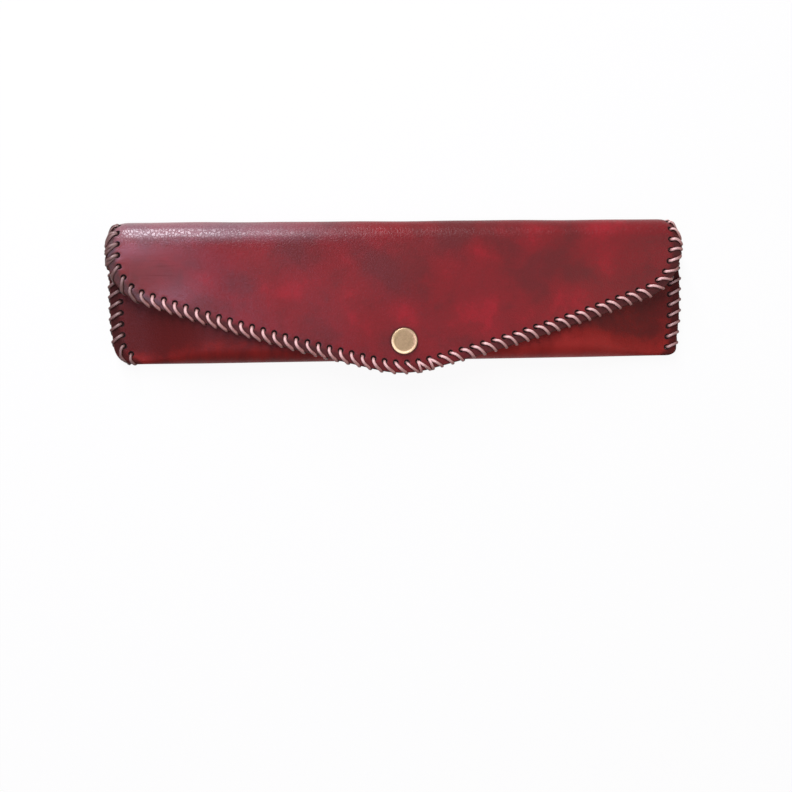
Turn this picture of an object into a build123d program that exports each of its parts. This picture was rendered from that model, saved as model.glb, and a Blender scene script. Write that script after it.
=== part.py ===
from build123d import *
from math import ceil, cos, pi, sin
import os

os.makedirs("parts", exist_ok=True)

# A soft leather case for a pair of santoor mallets: one hide folded in three,
# whip-stitched down its sides and closed by one snap under the flap's point.
# It lies on its back: X runs along it, Y towards the top fold and Z upwards.
# All sizes are in millimetres.

# Hide
leather = 1.8
body_length = 271.2
body_height = 66.5
wall_y = 36.2

# Pocket
pocket_depth = 14.5
pocket_corner = 6.0
mouth_drop = 14.5
ply_gap = 0.3
seam_rise = 2.2
seam_width = 12.0
swell_length = 36.0
swell_steps = 6
ramp_length = 8.0

# Creases, as outer radii, and the hairline left between two folding pieces
back_crease = 4.0
front_crease = 8.0
crease_gap = 0.25

# Flap
flap_clearance = 2.3
flap_flare = 0.6
flap_shoulder = 32.0
flap_corner = 22.0
flap_bow = 2.1
point_drop = 7.0
point_radius = 50.0
point_x = 1.5

# Lace and its punched holes
lace_width = 1.6
lace_sides = 6
lace_gap = 0.12
lace_bend = 0.6
lace_bow = 0.2
lace_tail = 2.5
hole_width = 2.5
hole_inset = 5.0
stitch_pitch = 5.35
crease_margin = 2.6
seam_stop = 1.2
seam_foot = 4.2
corner_shift = 1.4
corner_turn = pi / 6

# Snap
snap_rise = 9.8
cap_radius = 6.25
cap_height = 2.1
cap_disc = 3.7
cap_recess = 0.35
cap_rim_flat = 0.5
cap_rim_steps = 3
rivet_radius = 1.5
rivet_clearance = 0.1
socket_radius = 5.2
socket_plate = 0.5
socket_wall = 1.2
socket_lip = 0.4
stud_head = 2.3
stud_neck = 1.95
stud_round = 0.2
stud_base = 4.0
stud_base_thickness = 0.25
snap_clearance = 0.25
spring_wire = 0.6
spring_sides = 6
eyelet_radius = 2.5
eyelet_thickness = 0.4

# Places worked out from those sizes
half_length = body_length / 2
bottom_y = wall_y - body_height
mouth_y = wall_y - mouth_drop
seam_thickness = 2 * leather + ply_gap
flap_under = pocket_depth + flap_clearance
flap_top = flap_under + leather
back_crease_y = wall_y - back_crease
back_crease_z = seam_rise + back_crease
front_crease_y = wall_y - front_crease
front_crease_z = flap_top - front_crease
split_y = front_crease_y + front_crease * pi / 4
back_arc = back_crease * pi / 4
wall_height = front_crease_z - back_crease_z
spine_run = back_arc + wall_height + front_crease * pi / 4
lace_lift = lace_gap + lace_width / 2
snap_x = point_x
snap_y = bottom_y + snap_rise
profile_plane = Plane(origin=(0, 0, 0), x_dir=(0, 1, 0), z_dir=(1, 0, 0))


def polar_point(y, z, radius, angle):
    """A point on a circle in a profile, its angle in radians above the level."""
    return (y + radius * cos(angle), z + radius * sin(angle))


def swell(x):
    """How far the pocket is swollen at x, from 0 at the flat seams to 1 in the middle."""
    step = (half_length - seam_width - abs(x)) / swell_length
    step = min(max(step, 0.0), 1.0)
    return step * step * (3 - 2 * step)


def pocket_section(x):
    """The hide's section at x: front panel, bottom fold, back panel and half of the back crease."""
    share = swell(x)
    outer = seam_thickness / 2 + (pocket_depth - seam_thickness) / 2 * share
    inner = outer - leather
    base = seam_rise * (1 - share)
    fold_y = bottom_y + outer
    fold_z = base + outer
    ramp_y = back_crease_y - crease_gap - ramp_length
    flat_y = back_crease_y - crease_gap
    lower = (back_crease_y, back_crease_z)
    split = -pi / 4
    half = -3 * pi / 8
    quarter = 2 ** -0.5
    with BuildSketch(profile_plane.offset(x)) as section:
        with BuildLine():
            ThreePointArc(
                (fold_y, base),
                (fold_y - outer * quarter, fold_z - outer * quarter),
                (bottom_y, fold_z),
            )
            ThreePointArc(
                (bottom_y, fold_z),
                (fold_y - outer * quarter, fold_z + outer * quarter),
                (fold_y, fold_z + outer),
            )
            Line((fold_y, fold_z + outer), (mouth_y, fold_z + outer))
            Line((mouth_y, fold_z + outer), (mouth_y, fold_z + inner))
            Line((mouth_y, fold_z + inner), (fold_y, fold_z + inner))
            ThreePointArc(
                (fold_y, fold_z + inner),
                (fold_y - inner * quarter, fold_z + inner * quarter),
                (fold_y - inner, fold_z),
            )
            ThreePointArc(
                (fold_y - inner, fold_z),
                (fold_y - inner * quarter, fold_z - inner * quarter),
                (fold_y, fold_z - inner),
            )
            Line((fold_y, base + leather), (ramp_y, base + leather))
            Spline((ramp_y, base + leather), (flat_y, seam_rise + leather), tangents=[(1, 0), (1, 0)])
            Line((flat_y, seam_rise + leather), (back_crease_y, seam_rise + leather))
            ThreePointArc(
                (back_crease_y, seam_rise + leather),
                polar_point(*lower, back_crease - leather, half),
                polar_point(*lower, back_crease - leather, split),
            )
            Line(polar_point(*lower, back_crease - leather, split), polar_point(*lower, back_crease, split))
            ThreePointArc(
                polar_point(*lower, back_crease, split),
                polar_point(*lower, back_crease, half),
                (back_crease_y, seam_rise),
            )
            Line((back_crease_y, seam_rise), (flat_y, seam_rise))
            Spline((flat_y, seam_rise), (ramp_y, base), tangents=[(-1, 0), (-1, 0)])
            Line((ramp_y, base), (fold_y, base))
        make_face()
    return section.sketch


def flap_outline(top_y, inset=0.0):
    """The flap's cut outline, laid flat and ending at top_y, drawn in from its edge by inset."""
    shoulder_x = half_length + flap_flare
    shoulder_y = wall_y - flap_shoulder
    point = (point_x, bottom_y - point_drop)
    with BuildSketch() as outline:
        with BuildLine():
            Polyline((-half_length, top_y), (-half_length, front_crease_y - 1), (-shoulder_x, shoulder_y))
            SagittaArc((-shoulder_x, shoulder_y), point, -flap_bow)
            SagittaArc(point, (shoulder_x, shoulder_y), -flap_bow)
            Polyline((shoulder_x, shoulder_y), (half_length, front_crease_y - 1), (half_length, top_y))
            Line((half_length, top_y), (-half_length, top_y))
        make_face()
        fillet(outline.vertices().sort_by(Axis.Y)[1:3], flap_corner)
        fillet(outline.vertices().sort_by(Axis.Y)[0], point_radius)
        if inset:
            offset(amount=-inset, mode=Mode.REPLACE)
    return outline.sketch


def on_pocket(x, y, z):
    """The pocket's seam is flat, so its stitches need no wrapping."""
    return Vector(x, y, z)


def on_spine(x, run, lift):
    """A point lifted off the top fold's outer face, run being measured from the back crease."""
    if run < back_arc:
        angle = run / back_crease - pi / 4
        reach = back_crease + lift
        return Vector(x, back_crease_y + reach * cos(angle), back_crease_z + reach * sin(angle))
    if run < back_arc + wall_height:
        return Vector(x, wall_y + lift, back_crease_z + run - back_arc)
    angle = (run - back_arc - wall_height) / front_crease
    reach = front_crease + lift
    return Vector(x, front_crease_y + reach * cos(angle), front_crease_z + reach * sin(angle))


def on_flap(x, y, lift):
    """A point lifted off the flap's outer face, the flap being laid flat in y."""
    angle = max(y - front_crease_y, 0) / front_crease
    reach = front_crease + lift
    flat_y = min(y, front_crease_y)
    return Vector(x, flat_y + reach * sin(angle), front_crease_z + reach * cos(angle))


def stitches(line, top, bottom):
    """Evenly spaced holes along a line, each with its outward and onward directions."""
    count = round(line.length / stitch_pitch)
    rows = []
    for index in range(count + 1):
        place = line @ (index / count)
        onward = line % (index / count)
        rows.append((place.X, place.Y, onward.X, onward.Y, top(place), bottom(place)))
    return rows


def whip_points(rows, surface, closing=None):
    """The lace's route: up through each hole, slanting over the edge and straight back under.

    The lace ends in its last hole, or over the edge beside the closing row where one is given.
    """
    edge = hole_inset + lace_lift
    points = []

    def step(row, out, back, lift):
        """Adds the point that lies out of a hole towards the edge and back along the stitch line."""
        x, y, onward_x, onward_y = row[:4]
        place_x = x + out * onward_y - back * onward_x
        place_y = y - out * onward_x - back * onward_y
        points.append(surface(place_x, place_y, lift))

    step(rows[0], lace_bend + lace_tail, 0, rows[0][5])
    for row, following in zip(rows, rows[1:] + [closing]):
        top, bottom = row[4:]
        step(row, lace_bend, 0, bottom)
        step(row, 0, 0, bottom + lace_bend)
        step(row, 0, 0, top - lace_bend)
        if following is None:
            break
        over = max(top, following[4])
        under = following[5]
        step(row, lace_bend, 0, over)
        step(following, (edge + lace_bend) / 2, 0.55 * stitch_pitch, over + lace_bow)
        step(following, edge - lace_bend, 0.2 * stitch_pitch, over)
        step(following, edge, 0.12 * stitch_pitch, over - lace_bend)
        step(following, edge, 0.05 * stitch_pitch, under + lace_bend)
        step(following, edge - lace_bend, 0, under)
    return points


def least_gap(points):
    """The least gap between stretches of one lace, measured on points along it."""
    samples = []
    run = 0.0
    for start, end in zip(points, points[1:]):
        length = (end - start).length
        steps = ceil(length / (lace_width / 4))
        for step in range(steps):
            samples.append((run + length * step / steps, start + (end - start) * (step / steps)))
        run += length
    nearest = body_length
    for index, (here, place) in enumerate(samples):
        for there, other in samples[index + 1:index + 150]:
            if there - here > pi * lace_width:
                nearest = min(nearest, (other - place).length)
    return nearest - lace_width


def lace_piece(points, name):
    """One unbroken length of lace along its route, mitred at each bend."""
    with BuildPart() as lace:
        with BuildLine() as route:
            Polyline(*points)
        with BuildSketch(Plane(origin=points[0], z_dir=points[1] - points[0])):
            RegularPolygon(lace_width / 2, lace_sides)
        sweep(path=route.wires()[0], transition=Transition.RIGHT)
    lace.part.label = name
    export_step(lace.part, f"parts/{name}.step")
    print(name, "least gap to itself", round(least_gap(points), 2))


def hole_faces(rows, surface, lift):
    """The outlines of a row of holes, each square to the hide and starting at lift from its face."""
    faces = []
    for x, y, *_ in rows:
        foot = surface(x, y, lift)
        with BuildSketch(Plane(origin=foot, x_dir=(1, 0, 0), z_dir=surface(x, y, lift + 1) - foot)) as hole:
            RegularPolygon(hole_width / 2, lace_sides)
        faces += hole.sketch.faces()
    return faces


# Stitch lines of the pocket
def pocket_line(side):
    """The line of one seam's holes: downwards on the left (-1), upwards on the right (1)."""
    seam_x = side * (half_length - hole_inset)
    high = (seam_x, back_crease_y - seam_stop)
    low = (seam_x, bottom_y + seam_foot)
    return Edge.make_line(high, low) if side < 0 else Edge.make_line(low, high)


def pocket_top(place):
    """Height of the lace over the two plies of the seam, or over the one ply past the mouth."""
    plies = seam_thickness if place.Y - stitch_pitch < mouth_y + lace_width else leather
    return seam_rise + plies + lace_lift


def pocket_bottom(place):
    """Height of the lace under the seam, the same all along it."""
    return seam_rise - lace_lift


left_seam = stitches(pocket_line(-1), pocket_top, pocket_bottom)
right_seam = stitches(pocket_line(1), pocket_top, pocket_bottom)

# Beside this row the left seam's lace slants over the bottom corner and ends
foot_x, foot_y = left_seam[-1][:2]
corner_onward = (sin(corner_turn), -cos(corner_turn))
corner_row = (foot_x + corner_shift, foot_y - corner_shift, *corner_onward, *left_seam[-1][4:])


# Stitch lines of the top fold and of the flap, measured on the hide laid flat
def over_hide(place):
    """Height of the lace over a single ply."""
    return lace_lift


def under_hide(place):
    """Height of the lace under a single ply."""
    return -leather - lace_lift


def spine_line(side):
    """The line of holes across the top fold: downwards on the left, upwards on the right."""
    stitch_x = side * (half_length - hole_inset)
    low = (stitch_x, crease_margin)
    high = (stitch_x, spine_run - crease_margin)
    return Edge.make_line(high, low) if side < 0 else Edge.make_line(low, high)


left_fold = stitches(spine_line(-1), over_hide, under_hide)
right_fold = stitches(spine_line(1), over_hide, under_hide)
flap_edges = flap_outline(split_y - crease_margin + hole_inset, hole_inset).edges().sort_by(Axis.Y)[:-1]
flap_rows = stitches(Wire(flap_edges), over_hide, under_hide)
point_row = min(range(len(flap_rows)), key=lambda index: flap_rows[index][1])


# Pocket leather: front panel, bottom fold and back panel as far as the middle of the back crease
swell_start = half_length - seam_width
stations = [swell_start - swell_length * step / swell_steps for step in range(swell_steps + 1)]
stations.insert(0, half_length)
with BuildPart() as pocket_leather:
    for x in [-station for station in stations] + stations[::-1]:
        add(pocket_section(x))
    loft(ruled=True)
    with BuildSketch(Plane.XY) as pocket_plan:
        with Locations((0, bottom_y + body_height)):
            Rectangle(body_length, 2 * body_height)
        fillet(pocket_plan.vertices().group_by(Axis.Y)[0], pocket_corner)
    extrude(amount=pocket_depth, mode=Mode.INTERSECT)
    seam_holes = hole_faces(left_seam, on_pocket, 0) + hole_faces(right_seam, on_pocket, 0)
    extrude(to_extrude=seam_holes, amount=pocket_depth, mode=Mode.SUBTRACT)
    with BuildSketch(Plane((snap_x, snap_y, pocket_depth - 2 * leather))):
        Circle(rivet_radius + rivet_clearance)
    extrude(amount=3 * leather, mode=Mode.SUBTRACT)
pocket_leather.part.label = "pocket_leather"
export_step(pocket_leather.part, "parts/pocket_leather.step")


# Top fold: the strip between the middles of the two creases
with BuildPart() as top_fold:
    with BuildSketch(profile_plane.offset(-half_length)):
        back_start = crease_gap / back_crease - pi / 4
        front_end = pi / 4 - crease_gap / front_crease
        with BuildLine():
            for back_radius, front_radius in [
                (back_crease, front_crease),
                (back_crease - leather, front_crease - leather),
            ]:
                wall = back_crease_y + back_radius
                ThreePointArc(
                    polar_point(back_crease_y, back_crease_z, back_radius, back_start),
                    polar_point(back_crease_y, back_crease_z, back_radius, back_start / 2),
                    (wall, back_crease_z),
                )
                Line((wall, back_crease_z), (wall, front_crease_z))
                ThreePointArc(
                    (wall, front_crease_z),
                    polar_point(front_crease_y, front_crease_z, front_radius, front_end / 2),
                    polar_point(front_crease_y, front_crease_z, front_radius, front_end),
                )
            Line(
                polar_point(back_crease_y, back_crease_z, back_crease, back_start),
                polar_point(back_crease_y, back_crease_z, back_crease - leather, back_start),
            )
            Line(
                polar_point(front_crease_y, front_crease_z, front_crease, front_end),
                polar_point(front_crease_y, front_crease_z, front_crease - leather, front_end),
            )
        make_face()
    extrude(amount=body_length)
    fold_holes = hole_faces(left_fold + right_fold, on_spine, -2 * leather)
    extrude(to_extrude=fold_holes, amount=3 * leather, mode=Mode.SUBTRACT)
top_fold.part.label = "top_fold"
export_step(top_fold.part, "parts/top_fold.step")


# Flap leather: half of the front crease and the plate with its broad point
with BuildPart() as flap_leather:
    with BuildSketch(Plane.XY.offset(flap_under)):
        add(flap_outline(front_crease_y))
    extrude(amount=leather)
    with BuildSketch(profile_plane.offset(-half_length)):
        flap_start = pi / 4 + crease_gap / front_crease
        inner_radius = front_crease - leather
        with BuildLine():
            ThreePointArc(
                polar_point(front_crease_y, front_crease_z, front_crease, flap_start),
                polar_point(front_crease_y, front_crease_z, front_crease, (flap_start + pi / 2) / 2),
                (front_crease_y, flap_top),
            )
            Line((front_crease_y, flap_top), (front_crease_y, flap_under))
            ThreePointArc(
                (front_crease_y, flap_under),
                polar_point(front_crease_y, front_crease_z, inner_radius, (flap_start + pi / 2) / 2),
                polar_point(front_crease_y, front_crease_z, inner_radius, flap_start),
            )
            Line(
                polar_point(front_crease_y, front_crease_z, inner_radius, flap_start),
                polar_point(front_crease_y, front_crease_z, front_crease, flap_start),
            )
        make_face()
    extrude(amount=body_length)
    flap_holes = hole_faces(flap_rows, on_flap, -2 * leather)
    extrude(to_extrude=flap_holes, amount=3 * leather, mode=Mode.SUBTRACT)
    with BuildSketch(Plane((snap_x, snap_y, flap_under - leather))):
        Circle(rivet_radius + rivet_clearance)
    extrude(amount=3 * leather, mode=Mode.SUBTRACT)
flap_leather.part.label = "flap_leather"
export_step(flap_leather.part, "parts/flap_leather.step")


# Laces: each seam and edge has its own, and the flap's two meet at the point
lace_piece(whip_points(left_seam, on_pocket, corner_row), "pocket_lace_left")
lace_piece(whip_points(right_seam, on_pocket), "pocket_lace_right")
lace_piece(whip_points(left_fold, on_spine), "fold_lace_left")
lace_piece(whip_points(right_fold, on_spine), "fold_lace_right")
left_rows = flap_rows[:point_row + 1]
right_rows = flap_rows[point_row + 1:]
lace_piece(whip_points(left_rows, on_flap, right_rows[0]), "flap_lace_left")
lace_piece(whip_points(right_rows, on_flap), "flap_lace_right")


# Snap cap on the flap: a sunk disc in a rounded rim, on a post through the hide
snap_plane = Plane(origin=(snap_x, snap_y, 0), x_dir=(1, 0, 0), z_dir=(0, -1, 0))
socket_bottom = pocket_depth + stud_base_thickness + snap_clearance
socket_top = flap_under - socket_plate
rim_top = flap_top + cap_height
disc_top = rim_top - cap_recess
rim_start = cap_disc + cap_recess
rim_radius = cap_radius - rim_start - cap_rim_flat
rim_centre = (cap_radius - rim_radius, rim_top - rim_radius)
rim_turns = [pi / 2 * (1 - turn / cap_rim_steps) for turn in range(cap_rim_steps + 1)]
rim_round = [polar_point(*rim_centre, rim_radius, turn) for turn in rim_turns]
with BuildPart() as snap_cap:
    with BuildSketch(snap_plane):
        with BuildLine():
            Polyline(
                (cap_radius, flap_top),
                (rivet_radius, flap_top),
                (rivet_radius, socket_top),
                (0, socket_top),
                (0, disc_top),
                (cap_disc, disc_top),
                (rim_start, rim_top),
                *rim_round,
                close=True,
            )
        make_face()
    revolve(axis=Axis((snap_x, snap_y, 0), (0, 0, 1)))
snap_cap.part.label = "snap_cap"
export_step(snap_cap.part, "parts/snap_cap.step")


# Snap socket under the flap: a plate, a wall and a lip that keeps the spring in
socket_inner = socket_radius - socket_wall
lip_radius = stud_head + 2 * snap_clearance
with BuildPart() as snap_socket:
    with BuildSketch(snap_plane):
        with BuildLine():
            Polyline(
                (rivet_radius, flap_under),
                (socket_radius, flap_under),
                (socket_radius, socket_bottom),
                (lip_radius, socket_bottom),
                (lip_radius, socket_bottom + socket_lip),
                (socket_inner, socket_bottom + socket_lip),
                (socket_inner, socket_top),
                (rivet_radius, socket_top),
                close=True,
            )
        make_face()
    revolve(axis=Axis((snap_x, snap_y, 0), (0, 0, 1)))
snap_socket.part.label = "snap_socket"
export_step(snap_socket.part, "parts/snap_socket.step")


# Ring spring held between the socket's lip and its plate
spring_radius = stud_head + snap_clearance + spring_wire / 2
spring_z = (socket_bottom + socket_lip + socket_top) / 2
with BuildPart() as snap_spring:
    with BuildSketch(snap_plane):
        with Locations((spring_radius, spring_z)):
            RegularPolygon(spring_wire / 2, spring_sides)
    revolve(axis=Axis((snap_x, snap_y, 0), (0, 0, 1)), revolution_arc=330)
snap_spring.part.label = "snap_spring"
export_step(snap_spring.part, "parts/snap_spring.step")


# Snap stud on the pocket's front: a base, a neck and a rounded head
stud_top = socket_top - snap_clearance
neck_top = pocket_depth + stud_base_thickness + snap_clearance + socket_lip
with BuildPart() as snap_stud:
    with BuildSketch(snap_plane):
        with BuildLine():
            Polyline(
                (rivet_radius, pocket_depth),
                (stud_base, pocket_depth),
                (stud_base, pocket_depth + stud_base_thickness),
                (stud_neck, pocket_depth + stud_base_thickness),
                (stud_neck, neck_top),
                (stud_head, neck_top + stud_head - stud_neck),
                (stud_head, stud_top - stud_round),
                (stud_head - stud_round, stud_top),
                (rivet_radius, stud_top),
                close=True,
            )
        make_face()
    revolve(axis=Axis((snap_x, snap_y, 0), (0, 0, 1)))
snap_stud.part.label = "snap_stud"
export_step(snap_stud.part, "parts/snap_stud.step")


# Snap eyelet inside the pocket: its flange holds the hide against the stud
with BuildPart() as snap_eyelet:
    with BuildSketch(snap_plane):
        inside = pocket_depth - leather
        with BuildLine():
            Polyline(
                (0, inside - eyelet_thickness),
                (eyelet_radius, inside - eyelet_thickness),
                (eyelet_radius, inside),
                (rivet_radius, inside),
                (rivet_radius, stud_top),
                (0, stud_top),
                close=True,
            )
        make_face()
    revolve(axis=Axis((snap_x, snap_y, 0), (0, 0, 1)))
snap_eyelet.part.label = "snap_eyelet"
export_step(snap_eyelet.part, "parts/snap_eyelet.step")
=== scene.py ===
"""Looks of a soft leather mallet case: one red hide folded in three, laced down its sides, with one snap."""

import logging
import math
from dataclasses import dataclass, field
from enum import Enum
from typing import Callable, Sequence

import bpy
import numpy as np
from mathutils import Matrix, Vector
from mathutils.geometry import delaunay_2d_cdt


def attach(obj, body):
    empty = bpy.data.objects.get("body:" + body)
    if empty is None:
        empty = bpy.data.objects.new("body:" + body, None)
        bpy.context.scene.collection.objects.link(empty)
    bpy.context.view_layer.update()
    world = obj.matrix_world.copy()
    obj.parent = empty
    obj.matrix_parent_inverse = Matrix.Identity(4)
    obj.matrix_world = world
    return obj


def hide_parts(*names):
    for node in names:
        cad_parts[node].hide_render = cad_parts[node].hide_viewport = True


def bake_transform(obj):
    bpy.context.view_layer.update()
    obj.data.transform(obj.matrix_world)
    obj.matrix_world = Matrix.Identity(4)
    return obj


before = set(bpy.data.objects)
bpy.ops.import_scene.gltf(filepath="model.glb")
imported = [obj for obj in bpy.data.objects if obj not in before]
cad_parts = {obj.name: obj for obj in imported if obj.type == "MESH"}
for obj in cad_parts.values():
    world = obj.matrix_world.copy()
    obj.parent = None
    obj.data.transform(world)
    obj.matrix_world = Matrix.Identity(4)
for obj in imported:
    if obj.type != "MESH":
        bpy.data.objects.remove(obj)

log = logging.getLogger("mallet_case")

MM = 0.001
STRAIGHTENING_ROUNDS = 24
Colour = tuple[float, float, float, float]


def dye(red: int, green: int, blue: int) -> Colour:
    """Turns a colour as the eye sees it, 0 to 255, into the linear colour that shaders take."""
    linear = [
        (c / 255 / 12.92) if c <= 10 else ((c / 255 + 0.055) / 1.055) ** 2.4
        for c in (red, green, blue)
    ]
    return (linear[0], linear[1], linear[2], 1.0)


def ease(share: np.ndarray | float) -> np.ndarray | float:
    """A smooth step from 0 to 1 that is level at both ends."""
    held = np.clip(share, 0.0, 1.0)
    return held * held * (3 - 2 * held)


# Sizes and surfaces


@dataclass(frozen=True)
class CaseSizes:
    """The case's sizes in millimetres: those of its solids, then how its corners are rounded and pinched."""

    leather: float = 1.8
    length: float = 271.2
    height: float = 66.5
    wall_y: float = 36.2
    pocket_depth: float = 14.5
    mouth_drop: float = 14.5
    ply_gap: float = 0.3
    seam_rise: float = 2.2
    seam_width: float = 12.0
    swell_length: float = 36.0
    ramp_length: float = 8.0
    back_crease: float = 4.0
    front_crease: float = 8.0
    crease_gap: float = 0.25
    flap_clearance: float = 2.3
    flap_flare: float = 0.6
    flap_shoulder: float = 32.0
    flap_corner: float = 22.0
    flap_bow: float = 2.1
    point_drop: float = 7.0
    point_radius: float = 50.0
    point_x: float = 1.5
    hole_width: float = 2.5
    hole_grip: float = 0.15
    hole_inset: float = 5.0
    stitch_pitch: float = 5.35
    crease_margin: float = 2.6
    seam_stop: float = 1.2
    seam_foot: float = 4.2
    over_mouth: float = 1.6
    below_mouth: float = 2.4
    snap_rise: float = 9.8
    left_corner: float = 9.0
    right_corner: float = 4.0
    pinch: float = 7.0
    pinch_length: float = 12.0
    pinch_from: float = 16.0
    pinch_rise: float = 20.0

    @property
    def half(self) -> float:
        """Half the case's length."""
        return self.length / 2

    @property
    def bottom_y(self) -> float:
        """The pocket's bottom edge."""
        return self.wall_y - self.height

    @property
    def mouth_y(self) -> float:
        """The edge of the pocket's front panel."""
        return self.wall_y - self.mouth_drop

    @property
    def back_y(self) -> float:
        """Centre of the back crease."""
        return self.wall_y - self.back_crease

    @property
    def back_z(self) -> float:
        """Height of the back crease's centre."""
        return self.seam_rise + self.back_crease

    @property
    def front_y(self) -> float:
        """Centre of the front crease."""
        return self.wall_y - self.front_crease

    @property
    def flap_top(self) -> float:
        """Height of the flap's outer face."""
        return self.pocket_depth + self.flap_clearance + self.leather

    @property
    def front_z(self) -> float:
        """Height of the front crease's centre."""
        return self.flap_top - self.front_crease

    @property
    def split_y(self) -> float:
        """Where the flap ends on the flat hide, half-way round the front crease."""
        return self.front_y + self.front_crease * math.pi / 4

    @property
    def wall_height(self) -> float:
        """The straight height between the two creases."""
        return self.front_z - self.back_z

    @property
    def middle_z(self) -> float:
        """Half-way up that straight height, where the two sheets of hide meet."""
        return (self.front_z + self.back_z) / 2

    @property
    def join_y(self) -> float:
        """Where the two sheets meet on the flat hide."""
        return self.front_y + self.front_crease * math.pi / 2 + self.wall_height / 2

    @property
    def hole_radius(self) -> float:
        """A hole's radius on the grain side, closed a little round the lace."""
        return self.hole_width / 2 - self.hole_grip

    @property
    def seam_thickness(self) -> float:
        """The two plies of a side seam."""
        return 2 * self.leather + self.ply_gap

    @property
    def snap_y(self) -> float:
        """The snap's place up the flap."""
        return self.bottom_y + self.snap_rise


def pinched(s: CaseSizes, x: np.ndarray, y: np.ndarray) -> np.ndarray:
    """Where a height along the case comes to lie once the lacing has pulled the top corners in.

    Args:
        s: The case's sizes.
        x: Distance along the case.
        y: The straight case's y.

    Returns:
        The y of the worn case.
    """
    share = np.clip((np.abs(x) - s.half + s.pinch_length) / s.pinch_length, 0, 1.05)
    return y - s.pinch * share**4 * ease((y - s.pinch_from) / s.pinch_rise)


def straightened(s: CaseSizes, x: np.ndarray, worn_y: np.ndarray) -> np.ndarray:
    """The straight case's y of points on the worn case, which undoes `pinched`."""
    y = worn_y
    for _ in range(STRAIGHTENING_ROUNDS):
        y = worn_y + (y - pinched(s, x, y))
    return y


def bend(
    piece: bpy.types.Object, sizes: CaseSizes,
) -> None:
    """Sets a piece's points to their places on the straight case's hide, bakes its transform, and then puts
    its worn points back.

    Args:
        piece: The piece, in its worn shape.
        sizes: The case's sizes.
    """
    worn = np.zeros(len(piece.data.vertices) * 3, np.float32)
    piece.data.vertices.foreach_get("co", worn)
    straight = worn.reshape(-1, 3) / MM
    straight[:, 1] = straightened(sizes, straight[:, 0], straight[:, 1])
    piece.data.vertices.foreach_set("co", np.float32(straight * MM).ravel())
    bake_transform(piece)
    piece.data.vertices.foreach_set("co", worn)
    piece.data.update()


@dataclass(frozen=True)
class FlapSurface:
    """The flap, front crease and wall: x and y are the flat hide's, and lift is off its outer face."""

    sizes: CaseSizes
    droop: float = 4.6
    droop_from: float = 58.0
    droop_length: float = 74.0
    droop_width: float = 32.0
    tip_drop: float = 0.5
    ripple: float = 0.22

    def relax(self, x: np.ndarray, y: np.ndarray) -> np.ndarray:
        """How far the used hide lies off its true plane: its corners droop and it ripples a little."""
        s = self.sizes
        ends = ease((np.abs(x) - self.droop_from) / self.droop_length)
        corner = ends * ease((s.front_y - y) / self.droop_width)
        tip = ease((s.bottom_y + 4 - y) / 14)
        ripple = np.sin(x / 11.7 + 0.9) * np.sin(y / 8.9 + 0.4) + 0.7 * np.sin(x / 6.1 + y / 9.3)
        ripple += 0.8 * np.sin(x / 23.0 - y / 15.0 + 2.0)
        near_snap = np.exp(-((x - s.point_x) ** 2 + (y - s.snap_y) ** 2) / 160)
        held = (1 - near_snap) * (1 - 0.6 * ease((y - s.front_y + 4) / 8)) * ease((s.front_y + 15 - y) / 4)
        return self.ripple * ripple * held - self.droop * corner - self.tip_drop * tip

    def place(self, x: np.ndarray, y: np.ndarray, lift: np.ndarray) -> np.ndarray:
        """Points on the folded hide.

        Args:
            x: Distance along the case.
            y: Distance up the flat hide, running on over the front crease and down the wall.
            lift: Distance off the outer face.

        Returns:
            An array of points, one to a row.
        """
        s = self.sizes
        quarter = s.front_crease * math.pi / 2
        turn = np.clip((y - s.front_y) / s.front_crease, 0, math.pi / 2)
        down = np.clip(y - s.front_y - quarter, 0, s.wall_height)
        under = np.maximum(y - s.front_y - quarter - s.wall_height, 0) / s.back_crease
        reach = s.front_crease + lift + self.relax(x, y)
        flat = np.minimum(y, s.front_y)
        round_y = flat + reach * np.sin(turn)
        round_z = s.front_z + reach * np.cos(turn) - down
        back_reach = s.back_crease + lift
        low_y = s.back_y + back_reach * np.cos(under)
        low_z = s.back_z - back_reach * np.sin(under)
        high = pinched(s, x, np.where(under > 0, low_y, round_y))
        return np.stack([x, high, np.where(under > 0, low_z, round_z)], -1)


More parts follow.
